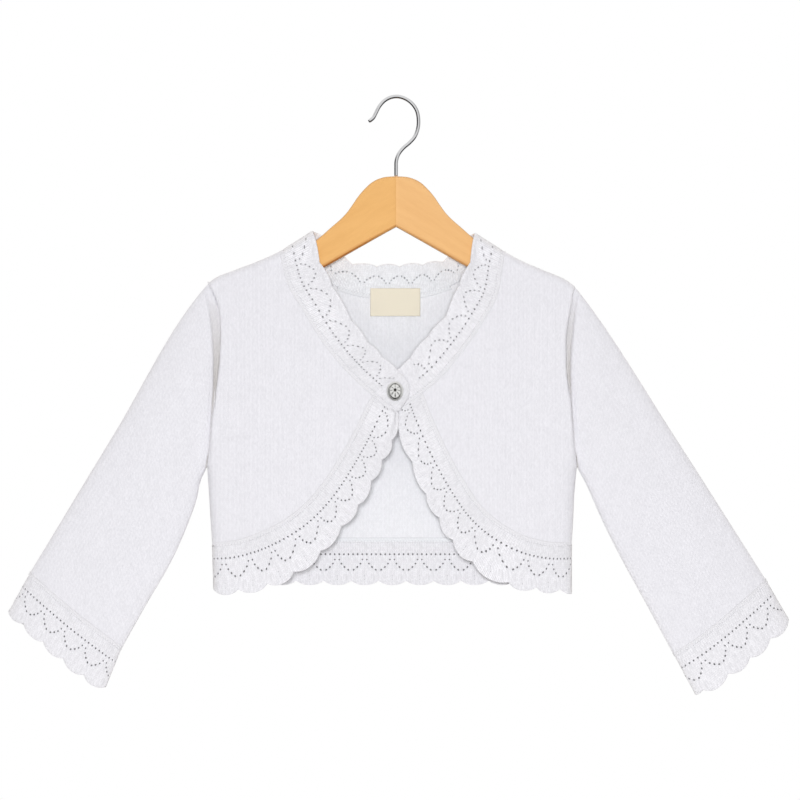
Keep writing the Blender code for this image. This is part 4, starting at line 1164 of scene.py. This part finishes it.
def seam_ridge(name, grid, marks, count, unit=seam_stitch, inward=False):
    piece = wrap(name, grid, marks, inner_lace_with_painted_light if inward else lace_yarn, unit, count,
                 inward=inward)
    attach(piece, "root")


for side in SHOULDER:
    layer = partial(front_y, side)
    panel_point = (-120, -250) if side == "left" else (110, -250)
    seam_ridge("seam_neck_" + side, *seam_guide(neck_rail(side), layer, panel_point))
    seam_ridge("seam_lower_front_" + side,
               *seam_guide(smooth(LOWER_SEAM[side]), layer, panel_point))
seam_ridge("seam_neck_back", *seam_guide(smooth(BACK_NECK_SEAM), back_y, (0, -250)))
seam_ridge("seam_hem_back", *seam_guide(hem_rail, back_y, (0, -250)))


def inner_y(x, z):
    """The back's inner face, whose seams show through the open fronts."""
    return back_y(x, z) - WALL


inner_neck, inner_hem = smooth(BACK_NECK_SEAM[2:-2]), at(hem_rail, [0.06, 0.94])
seam_ridge("seam_neck_back_inside", *seam_guide(inner_neck, inner_y, (0, -250)), inward=True)
seam_ridge("seam_hem_back_inside", *seam_guide(inner_hem, inner_y, (0, -250)), inward=True)

for side in SHOULDER:
    line = smooth(ARMHOLE[side])
    line = line[(line[:, 1] < line[0, 1] - 4) & (line[:, 1] > line[-1, 1] + 3)]
    guide = seam_guide(line, lambda x, z: depth("back", side_x(side, z), z), (0, -220))
    seam_ridge("seam_armhole_" + side, *guide, unit=armhole_stitch)


def cuff_seam(side):
    """The cuff's ridge runs round the wrist, a little up the sleeve and down the lace."""
    shares = np.linspace(0, 1.0, 121)
    ring = around(wrists[side], shares)
    edge = np.array(CUFF_EDGE[side])
    down = (edge[0, 1:] + edge[-1, 1:]) - (ring[0, [0, 2]] + ring[len(ring) // 2, [0, 2]])
    down = down / np.linalg.norm(down)
    across = np.linspace(GUIDE_FROM, GUIDE_TO, 9)
    grid = ring[:, None] + np.array([down[0], 0, down[1]]) * across[None, :, None]
    count = round(travelled(ring)[-1] / SEAM_STITCH)
    return grid, marked(shares * count, across), count


for side in SHOULDER:
    seam_ridge("seam_cuff_" + side, *cuff_seam(side))
for unit in [*units.values(), seam_stitch, armhole_stitch]:
    bpy.data.objects.remove(unit)

# ================================================================ neck label
# A bare cream label of woven tape, folded at its lower end and stitched inside the back
# neck by its upper edge.
LABEL_CENTRE, LABEL_SIZE = (-1.6, -162.7), (40.0, 21.9)
LABEL_WALL, LABEL_OFF, LABEL_LIFT = 0.3, 0.4, 1.3
LABEL_FOLD_GAP, LABEL_WAVE, LABEL_WAVE_LENGTH = 0.5, 0.35, 52
TAPE_YARN = 0.42
TAPE_COLOURS = (0.80, 0.735, 0.585), (0.87, 0.815, 0.665)


def tape_material():
    material, shader = new_material("cream woven tape")
    add, maths, mix = node_tools(material.node_tree)
    places = add("ShaderNodeUVMap", uv_map="weave")
    warp, weft = (add("ShaderNodeTexWave", {"Scale": 0.5, "Distortion": 0.6,
                                            "Vector": places}, "Fac", bands_direction=way)
                  for way in ("X", "Y"))
    both = maths("ADD", warp, weft)
    relief = add("ShaderNodeBump", {"Strength": 0.5, "Distance": 0.1 * MM,
                                    "Height": both}, "Normal")
    plug(shader, {"Base Color": mix(maths("MULTIPLY", both, 0.5), *TAPE_COLOURS),
                  "Normal": relief, "Roughness": 0.75, "Sheen Weight": 0.1})
    return material


def make_label():
    width, tall = LABEL_SIZE
    x_line = np.linspace(-width / 2, width / 2, 41)
    t = np.linspace(0, 1, 30)
    turn = np.linspace(0, math.pi, 9)[1:-1]
    bend = LABEL_FOLD_GAP / 2
    drop = np.concatenate([tall * t[:-1], tall + bend * np.sin(turn), tall * t[::-1]])
    off = np.concatenate([np.full(29, 2 * bend), bend + bend * np.cos(turn), np.zeros(30)])
    x = LABEL_CENTRE[0] + x_line[:, None] + 0 * drop[None]
    z = LABEL_CENTRE[1] + tall / 2 - drop[None] + 0 * x
    share = drop[None] / tall
    wave = np.sin(math.tau * x_line / LABEL_WAVE_LENGTH)[:, None]
    rise = LABEL_LIFT * share ** 1.6 + LABEL_WAVE * wave * share
    y = back_y(x, z) - WALL - LABEL_OFF - off[None] - rise
    grid = np.stack([x, y, z], axis=-1)
    faces = grid_faces(numbered(grid))[:, [0, 3, 2, 1]]
    mesh = new_mesh("neck_label", grid, faces.tolist())
    run = np.broadcast_to(travelled(np.stack([drop, off], axis=-1)), x.shape)
    lay_map(mesh, "weave", np.stack([x, run], axis=-1) / TAPE_YARN)
    mesh.shade_smooth()
    mesh.materials.append(tape_material())
    piece = put("neck_label", mesh)
    wall = piece.modifiers.new("Thickness of the tape", "SOLIDIFY")
    wall.thickness = LABEL_WALL * MM
    wall.offset = 0
    return piece


label = make_label()
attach(label, "root")
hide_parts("label")

# ================================================================ button
# A cast shank button in antique silver, sewn to the left tab: a flat oval flange, a beaded
# rim and an open flower of eight petals, with black patina left in its deep places.
BUTTON_CENTRE, BUTTON_HALF = (-1.7, -234.3), (6.7, 7.7)
BUTTON_CUP, BUTTON_FLOWER = (5.0, 6.6), (4.6, 5.8)     # half width and half height
BUTTON_STAND, BUTTON_EYE_UP, PETALS, BEADS = 0.2, 1.3, 8, 18
SILVER, PATINA = ((0.80, 0.80, 0.78), (0.97, 0.97, 0.95)), (0.12, 0.115, 0.105)
SILVER_ROUGH, PATINA_ROUGH = 0.24, 0.6


def turn_outwards(mesh, flat_ends=False, sharp=False):
    """Winds a closed mesh outwards, and can keep its end faces flat and their rims sharp."""
    shape = bmesh.new()
    shape.from_mesh(mesh)
    bmesh.ops.recalc_face_normals(shape, faces=shape.faces[:])
    for face in shape.faces if flat_ends else ():
        face.smooth = len(face.verts) == 4
        if sharp and not face.smooth:
            for edge in face.edges:
                edge.smooth = False
    shape.to_mesh(mesh)
    shape.free()


def make_button():
    """Rings of points from the flower's eye out to the flange, then the back."""
    turns = np.linspace(0, math.tau, 105)[:-1]
    way = np.stack([np.cos(turns), np.sin(turns)], axis=-1)

    def oval(half):
        return 1 / np.hypot(way[:, 0] / half[0], way[:, 1] / half[1])

    petal = np.abs(np.sin(turns * PETALS / 2))
    bead = 0.5 + 0.5 * np.cos(turns * BEADS)
    whole, cup, flower = oval(BUTTON_HALF), oval(BUTTON_CUP), oval(BUTTON_FLOWER)
    low = np.clip(-way[:, 1], 0, 1) ** 2
    high = np.clip(way[:, 1], 0, 1) ** 2
    rings = []                   # distance from the eye, height, how black

    def ring(distance, height, black):
        rings.append(np.broadcast_arrays(distance, height, black))

    for share, height, black in ((0.05, 1.2, 1.0), (0.15, 1.25, 1.0), (0.19, 2.2, 0.8),
                                 (0.25, 2.45, 0.1)):
        ring(share * flower, height, black)
    for share in np.linspace(0.30, 0.92, 14):
        slit = eased((share - 0.40) / 0.12) * eased((0.90 - share) / 0.12)
        between = np.exp(-(petal / 0.32) ** 2) * slit * (0.5 + 0.5 * low)
        pit = np.exp(-((share - 0.66) / 0.13) ** 2)
        crown = 2.35 - 0.1 * share + 0.14 * petal ** 0.7 * math.sin(math.pi * share)
        ring(share * flower, crown - 0.25 * between, (0.05 + 0.75 * pit) * between)
    scalloped = 0.90 + 0.10 * petal ** 0.5
    ring(0.97 * flower * scalloped, 2.1, 0.1)
    sunk = 0.10 + 0.75 * low + 0.3 * high
    moat = 0.65 * low + 1.0 * high * (1 - bead)
    ring(1.00 * flower * scalloped, 1.9 - 0.7 * sunk, moat + 0.25)
    ring(0.5 * (flower + cup) - 0.1, 1.85 - 0.8 * sunk, moat + 0.35)
    ring(cup - 0.50, 1.85 - 0.75 * sunk, moat + 0.3)
    ring(cup - 0.36, 1.7 + 0.15 * bead, (0.5 - 0.5 * bead) * sunk)
    ring(cup - 0.20, 1.8 + 0.2 * bead, (0.4 - 0.4 * bead) * sunk)
    ring(cup + 0.02, 1.7 + 0.2 * bead, (0.3 - 0.3 * bead) * sunk)
    ring(cup + 0.18, 1.3, 0.25)
    brim = cup + 0.34
    ring(brim, 1.0, 0.1)
    for share, height, black in ((0.35, 0.99, 0.14), (0.7, 0.97, 0.14), (0.9, 0.93, 0.16),
                                 (1.0, 0.5, 0.2), (1.0, 0.1, 0.3)):
        ring(brim + (whole - brim) * share, height, black)
    ring(whole * 0.4, 0.05, 0.6)

    base = float(front_y("left", *BUTTON_CENTRE)) - BUTTON_STAND
    points = [(BUTTON_CENTRE[0], base - 1.2, BUTTON_CENTRE[1] + BUTTON_EYE_UP)]
    black = [1.0]
    for distance, height, dark in rings:
        for (c, s), out, up, d in zip(way, distance, height, dark):
            lift = BUTTON_EYE_UP * max(0.0, 1 - out / BUTTON_FLOWER[0])
            points.append((BUTTON_CENTRE[0] + out * c, base - up,
                           BUTTON_CENTRE[1] + out * s + lift))
            black.append(float(np.clip(d, 0, 1)))
    points.append((BUTTON_CENTRE[0], base, BUTTON_CENTRE[1]))
    black.append(0.6)
    around_eye = 1 + np.arange(len(rings) * len(turns)).reshape(len(rings), len(turns))
    number = np.hstack([around_eye, around_eye[:, :1]])
    faces = []
    for k in range(len(turns)):
        n = k + 1
        faces += [(number[i, k], number[i + 1, k], number[i + 1, n], number[i, n])
                  for i in range(len(rings) - 1)]
        faces.append((0, number[0, k], number[0, n]))
        faces.append((len(points) - 1, number[-1, n], number[-1, k]))
    mesh = new_mesh("silver_button", points, [tuple(map(int, face)) for face in faces])
    mark_points(mesh, "patina", black)
    turn_outwards(mesh)
    mesh.shade_smooth()
    metal, shader = new_material("antique silver")
    add, _, mix = node_tools(metal.node_tree)
    place = add("ShaderNodeTexCoord", output="Object")
    grain = add("ShaderNodeTexNoise", {"Scale": 900, "Vector": place}, "Fac")
    depth_of_black = add("ShaderNodeAttribute", output="Fac", attribute_name="patina")
    polish = add("ShaderNodeMapRange", {"To Min": SILVER_ROUGH, "To Max": PATINA_ROUGH,
                                        "Value": depth_of_black})
    plug(shader, {"Base Color": mix(depth_of_black, mix(grain, *SILVER), PATINA),
                  "Metallic": 1.0, "Roughness": polish})
    mesh.materials.append(metal)
    piece = put("silver_button", mesh)
    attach(piece, "root")
    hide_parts("button")


make_button()

# ================================================================ hanger arms
# Two mirrored arms sawn from pale hardwood board, their edges rounded over, glued edge to
# edge at the middle and varnished clear.
WOOD_THICKNESS, WOOD_ROUNDING, WOOD_CENTRE = 12.0, 1.9, -0.9
WOOD_TONES = {"left": ((0.70, 0.37, 0.112), (0.82, 0.47, 0.168)),
              "right": ((0.725, 0.395, 0.150), (0.83, 0.495, 0.205))}
WOOD_TOP = [(0, -62.5), (10.6, -63.5), (18.8, -67.0), (25.3, -72.8), (30.2, -78.5),
            (35.2, -85.8), (40.1, -92.4), (44.9, -97.3), (51.5, -103.0), (59.7, -110.3),
            (70.0, -118.6)]
# how strong the painted shade on the lower edge is, on each arm
LOWER_EDGE_PAINTED_SHADE = {"left": 1.0, "right": 0.6}
# beside the joint: a painted highlight on the right arm, painted shade on the left
JOINT_PAINTED_HIGHLIGHT_AND_SHADE = {"left": (0.93, 0.90, 0.86), "right": (1.05, 1.07, 1.10)}
WOOD_EDGE_PAINTED_SHADE = (0.50, 0.30, 0.10)      # painted shade on the rounded edges, darkest below
EDGE_SHADE_FADE = (0.6, 1.6)        # the painted edge shade fades upwards over this far, wider outwards
TOP_EDGE_PAINTED_SHADE, JOINT_FADE = 0.22, 0.25      # painted shade on the top edge, and the share of the joint's marks one row from it
WOOD_GRAIN, WOOD_PORES, WOOD_SLOPE = (22, 160, 160), (160, 1500, 1500), 31
WOOD_HIDDEN_FROM, WOOD_REACH, WOOD_UNDER_SHOULDER = 90, 137, 2.8
WOOD_TIP = [(1.2, -5.0), (0.8, -10.0)]
WOOD_BOTTOM = [(0, -103.0), (98.0, -156.8), (112.0, -163.5), (124.0, -164.5),
               (134.0, -160.5)]


def wood_material(side):
    sign = -1 if side == "left" else 1
    material, shader = new_material("varnished hardwood, " + side + " arm")
    add, _, mix = node_tools(material.node_tree)
    place = add("ShaderNodeTexCoord", output="Object")
    turn = add("ShaderNodeMapping", {"Vector": place, "Rotation": (
        0, sign * math.radians(-WOOD_SLOPE), 0)})
    stretch, pores = (add("ShaderNodeMapping", {"Vector": turn, "Scale": scale})
                      for scale in (WOOD_GRAIN, WOOD_PORES))
    grain = add("ShaderNodeTexNoise", {"Scale": 1.0, "Detail": 6, "Roughness": 0.6,
                                       "Distortion": 0.4, "Vector": stretch}, "Fac")
    fleck = add("ShaderNodeTexNoise", {"Scale": 1.0, "Detail": 2, "Vector": pores}, "Fac")
    both = add("ShaderNodeMath", [fleck, 0.35, grain], operation="MULTIPLY_ADD")
    spread = add("ShaderNodeMapRange", {"From Min": 0.25, "From Max": 1.1, "Value": both})
    # rim: painted shade on the rounded edges
    rim, joint = (add("ShaderNodeAttribute", output="Fac", attribute_name=called)
                  for called in ("rim", "joint"))
    edge = mix(rim, mix(spread, *WOOD_TONES[side]), WOOD_EDGE_PAINTED_SHADE, "MULTIPLY")
    relief = add("ShaderNodeBump", {"Strength": 0.15, "Distance": 0.1 * MM,
                                    "Height": fleck}, "Normal")
    plug(shader, {"Base Color": mix(joint, edge, JOINT_PAINTED_HIGHLIGHT_AND_SHADE[side], "MULTIPLY"),
                  "Normal": relief, "Roughness": 0.38, "Coat Weight": 0.35,
                  "Coat Roughness": 0.2})
    return material


def capped_tube(name, grid):
    """A closed mesh round a row of rings, with one face over each end."""
    number = numbered(grid)
    faces = grid_faces(np.hstack([number, number[:, :1]])).tolist()
    return new_mesh(name, grid, faces + [number[0].tolist(), number[-1][::-1].tolist()])


def make_arm(side):
    sign = -1 if side == "left" else 1
    hidden = np.linspace(WOOD_HIDDEN_FROM, WOOD_REACH, 6)
    beyond = [(out, float(shoulder_z(WOOD_CENTRE + sign * out)) - WOOD_UNDER_SHOULDER)
              for out in hidden]
    tip = [(WOOD_REACH + past, beyond[-1][1] + drop) for past, drop in WOOD_TIP]
    top = np.vstack([smooth(WOOD_TOP), smooth([WOOD_TOP[-1]] + beyond)[1:], tip])
    bottom = np.vstack([smooth(WOOD_BOTTOM), tip[::-1][:1]])
    shares = np.concatenate([np.linspace(0, 0.5, 60), np.linspace(0.5, 0.985, 50)[1:]])
    upper, lower = at(top, shares), at(bottom, shares)
    upper[0, 0] = lower[0, 0] = 0
    away = upper - lower
    tall = np.linalg.norm(away, axis=1, keepdims=True)
    r = np.minimum(WOOD_ROUNDING, tall[:, 0] * 0.4)[:, None]
    half = WOOD_THICKNESS / 2
    turns = np.linspace(0, math.pi / 2, 6)
    ring = []                    # round the section: way out and up, where the painted edge shade ends, painted shade below
    for corner in range(4):
        for a in turns:
            a = a + corner * math.pi / 2
            lower_edge_shade = min(1.0, 0.5 - 1.6 * math.sin(a)) if corner == 3 else 0.0
            ring.append((math.cos(a), math.sin(a), 0.0, lower_edge_shade))
    ring = np.array(ring + [(1.0, 0.0, -1.0, 0.0)])
    middle = (upper + lower) / 2
    y = -(half - r) * np.sign(ring[None, :, 0] + 1e-9) - r * ring[None, :, 0]
    lower_half = np.arange(len(ring)) >= 12
    reach = (tall / 2 - r) * np.where(lower_half, -1, 1)[None] + r * ring[None, :, 1]
    outward = eased(shares / 0.3)[:, None]
    reach = reach - ring[None, :, 2] * (EDGE_SHADE_FADE[0] + EDGE_SHADE_FADE[1] * outward)
    flat = middle[:, None] + (away / tall)[:, None] * reach[..., None]
    x = WOOD_CENTRE + sign * flat[..., 0]
    grid = np.stack([x, y + 0 * x, flat[..., 1]], axis=-1)
    mesh = capped_tube("hanger_arm_of_wood_" + side, grid)
    # painted shade on the lower edge, stronger outwards, and a little on the top edge
    below = ring[None, :, 3] * (0.5 + 0.5 * outward)
    above = TOP_EDGE_PAINTED_SHADE * eased((ring[:, 1] - 0.3) / 0.5)
    mark_points(mesh, "rim", LOWER_EDGE_PAINTED_SHADE[side] * below + above[None])
    # painted highlight and shade on the rows beside the joint
    beside_joint = np.concatenate([[1.0, JOINT_FADE], np.zeros(len(shares) - 2)])
    mark_points(mesh, "joint", np.repeat(beside_joint, len(ring)))
    turn_outwards(mesh, flat_ends=True, sharp=True)
    mesh.materials.append(wood_material(side))
    piece = put("hanger_arm_of_wood_" + side, mesh)
    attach(piece, "root")
    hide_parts("hanger_arm_" + side)


for side in SHOULDER:
    make_arm(side)

# ================================================================ hook
# A hook of chromed 3 mm wire, bent round and screwed down into the joint of the arms.
HOOK_WIRE = 3.0
HOOK_END = [0.72, 0.93, 1.0]     # shares of its thickness at the rounded end
CHROME, CHROME_ROUGH = (0.75, 0.75, 0.76, 1), (0.04, 0.12)
HOOK_ROUTE = [(-22.9, -18.6), (-19.2, -15.6), (-17.0, -11.6), (-14.6, -6.9),
              (-10.4, -2.0), (-5.2, 0.8), (0.0, 1.5), (6.4, -0.2), (11.9, -4.2),
              (15.6, -9.8), (17.0, -17.1), (16.4, -24.6), (13.9, -30.8), (9.7, -35.6),
              (4.8, -39.8), (1.2, -44.4), (-0.7, -50.0), (-0.9, -56.0), (-0.9, -62.2)]


def make_hook():
    route = at(smooth(HOOK_ROUTE), np.linspace(0, 1, 150))
    way = np.gradient(route, axis=0)
    way = way / np.linalg.norm(way, axis=1, keepdims=True)
    out = np.stack([-way[:, 1], way[:, 0]], axis=-1)
    radius = np.full(len(route), HOOK_WIRE / 2)
    radius[:3] = HOOK_WIRE / 2 * np.array(HOOK_END)
    turns = np.linspace(0, math.tau, 25)[:-1]
    flat = route[:, None] + out[:, None] * (radius[:, None] * np.cos(turns))[..., None]
    y = radius[:, None] * np.sin(turns)
    grid = np.stack([flat[..., 0], y, flat[..., 1]], axis=-1)
    mesh = capped_tube("hook_of_chromed_wire", grid)
    turn_outwards(mesh, flat_ends=True)
    chrome, shader = new_material("chromed steel wire")
    add, _, _ = node_tools(chrome.node_tree)
    place = add("ShaderNodeTexCoord", output="Object")
    wear = add("ShaderNodeTexNoise", {"Scale": 700, "Vector": place}, "Fac")
    rough = add("ShaderNodeMapRange", {"To Min": CHROME_ROUGH[0], "To Max": CHROME_ROUGH[1],
                                       "Value": wear})
    plug(shader, {"Base Color": CHROME, "Metallic": 1.0, "Roughness": rough})
    mesh.materials.append(chrome)
    piece = put("hook_of_chromed_wire", mesh)
    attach(piece, "root")
    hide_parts("hook")


make_hook()

# ================================================================ floor, light, camera
# A plain pale floor far below, a white studio with soft light, and a long lens.
FLOOR_Z, FLOOR_SIZE = -1.35, 3.0
floor_mesh = bpy.data.meshes.new("floor")
half = FLOOR_SIZE / 2
floor_mesh.from_pydata([(-half, -half, FLOOR_Z), (half, -half, FLOOR_Z),
                        (half, half, FLOOR_Z), (-half, half, FLOOR_Z)], [],
                       [(0, 1, 2, 3)])
floor = put("floor", floor_mesh)
pale, shader = new_material("pale studio floor")
plug(shader, {"Base Color": (0.8, 0.8, 0.8, 1), "Roughness": 0.7})
floor_mesh.materials.append(pale)
floor.visible_glossy = False

FRONT_WALL, BACK_WALL, OVERHEAD, WARM_WALL = 0.17, 1.05, 0.42, (1.0, 0.97, 0.94)
world = bpy.data.worlds.new("white studio")
bpy.context.scene.world = world
world.use_nodes = True
sky = world.node_tree
sky.nodes.clear()
add, maths, _ = node_tools(sky)
split = add("ShaderNodeSeparateXYZ", [add("ShaderNodeTexCoord", output="Generated")], None)


def sky_ramp(axis, start, end, low, high):
    """Brightness of the studio's walls along one direction."""
    return add("ShaderNodeMapRange", {"From Min": start, "From Max": end, "To Min": low,
                                      "To Max": high, "Value": split[axis]})


def sky_light(brightness, colour=(1, 1, 1)):
    return add("ShaderNodeBackground", {"Color": (*colour, 1), "Strength": brightness})


# What shows in the metal: dark low on one side and below, greyer on the other side.
left_wall = maths("MAXIMUM", sky_ramp("X", -0.62, -0.35, 0.08, 1.0),
                  sky_ramp("Z", 0.20, 0.50, 0.0, 1.0))
right_wall = sky_ramp("X", 0.45, 0.80, 0.88, 0.45)
walls = maths("MULTIPLY", maths("MULTIPLY", left_wall, right_wall),
              sky_ramp("Z", -0.50, -0.22, 0.06, 1.0))
soft_box = maths("ADD", sky_ramp("Y", -0.25, 0.25, FRONT_WALL, BACK_WALL),
                 sky_ramp("Z", 0.1, 0.9, 0.0, OVERHEAD))
ray = add("ShaderNodeLightPath", output=None)
lit = add("ShaderNodeMixShader", [ray["Is Glossy Ray"], sky_light(soft_box, WARM_WALL),
                                  sky_light(walls)])
pick = add("ShaderNodeMixShader", [ray["Is Camera Ray"], lit, sky_light(1.0)])
plug(sky.nodes.new("ShaderNodeOutputWorld"), [pick])

LAMP_COLOUR = (0.965, 0.97, 1.0)
LAMPS_AIM = (0.0, 0.0, -0.24)
LAMPS = [                        # name, place, size, power
    ("key light", (-0.14, -2.8, 0.06), 0.45, 39.8),
    ("fill light", (0.17, -2.8, -0.24), 0.45, 21.5),
]
for name, place, size, power in LAMPS:
    lamp = bpy.data.lights.new(name, "AREA")
    lamp.shape = "SQUARE"
    lamp.size = size
    lamp.energy = power
    lamp.color = LAMP_COLOUR
    light = put(name, lamp)
    light.location = place
    light.visible_glossy = False
    aim = np.subtract(LAMPS_AIM, place)
    light.rotation_euler = (math.acos(-aim[2] / np.linalg.norm(aim)), 0,
                            math.atan2(aim[1], aim[0]) - math.pi / 2)

CAMERA_DISTANCE, VIEW_WIDTH, SENSOR = 2.8, 0.64, 36.0
VIEW_CENTRE = (0.0022, -0.2413)
lens = bpy.data.cameras.new("camera")
lens.sensor_width = SENSOR
lens.lens = SENSOR * CAMERA_DISTANCE / VIEW_WIDTH
camera = put("camera", lens)
camera.location = (VIEW_CENTRE[0], -CAMERA_DISTANCE, VIEW_CENTRE[1])
camera.rotation_euler = (math.pi / 2, 0, 0)
bpy.context.scene.camera = camera
bpy.context.scene.view_settings.view_transform = "Standard"
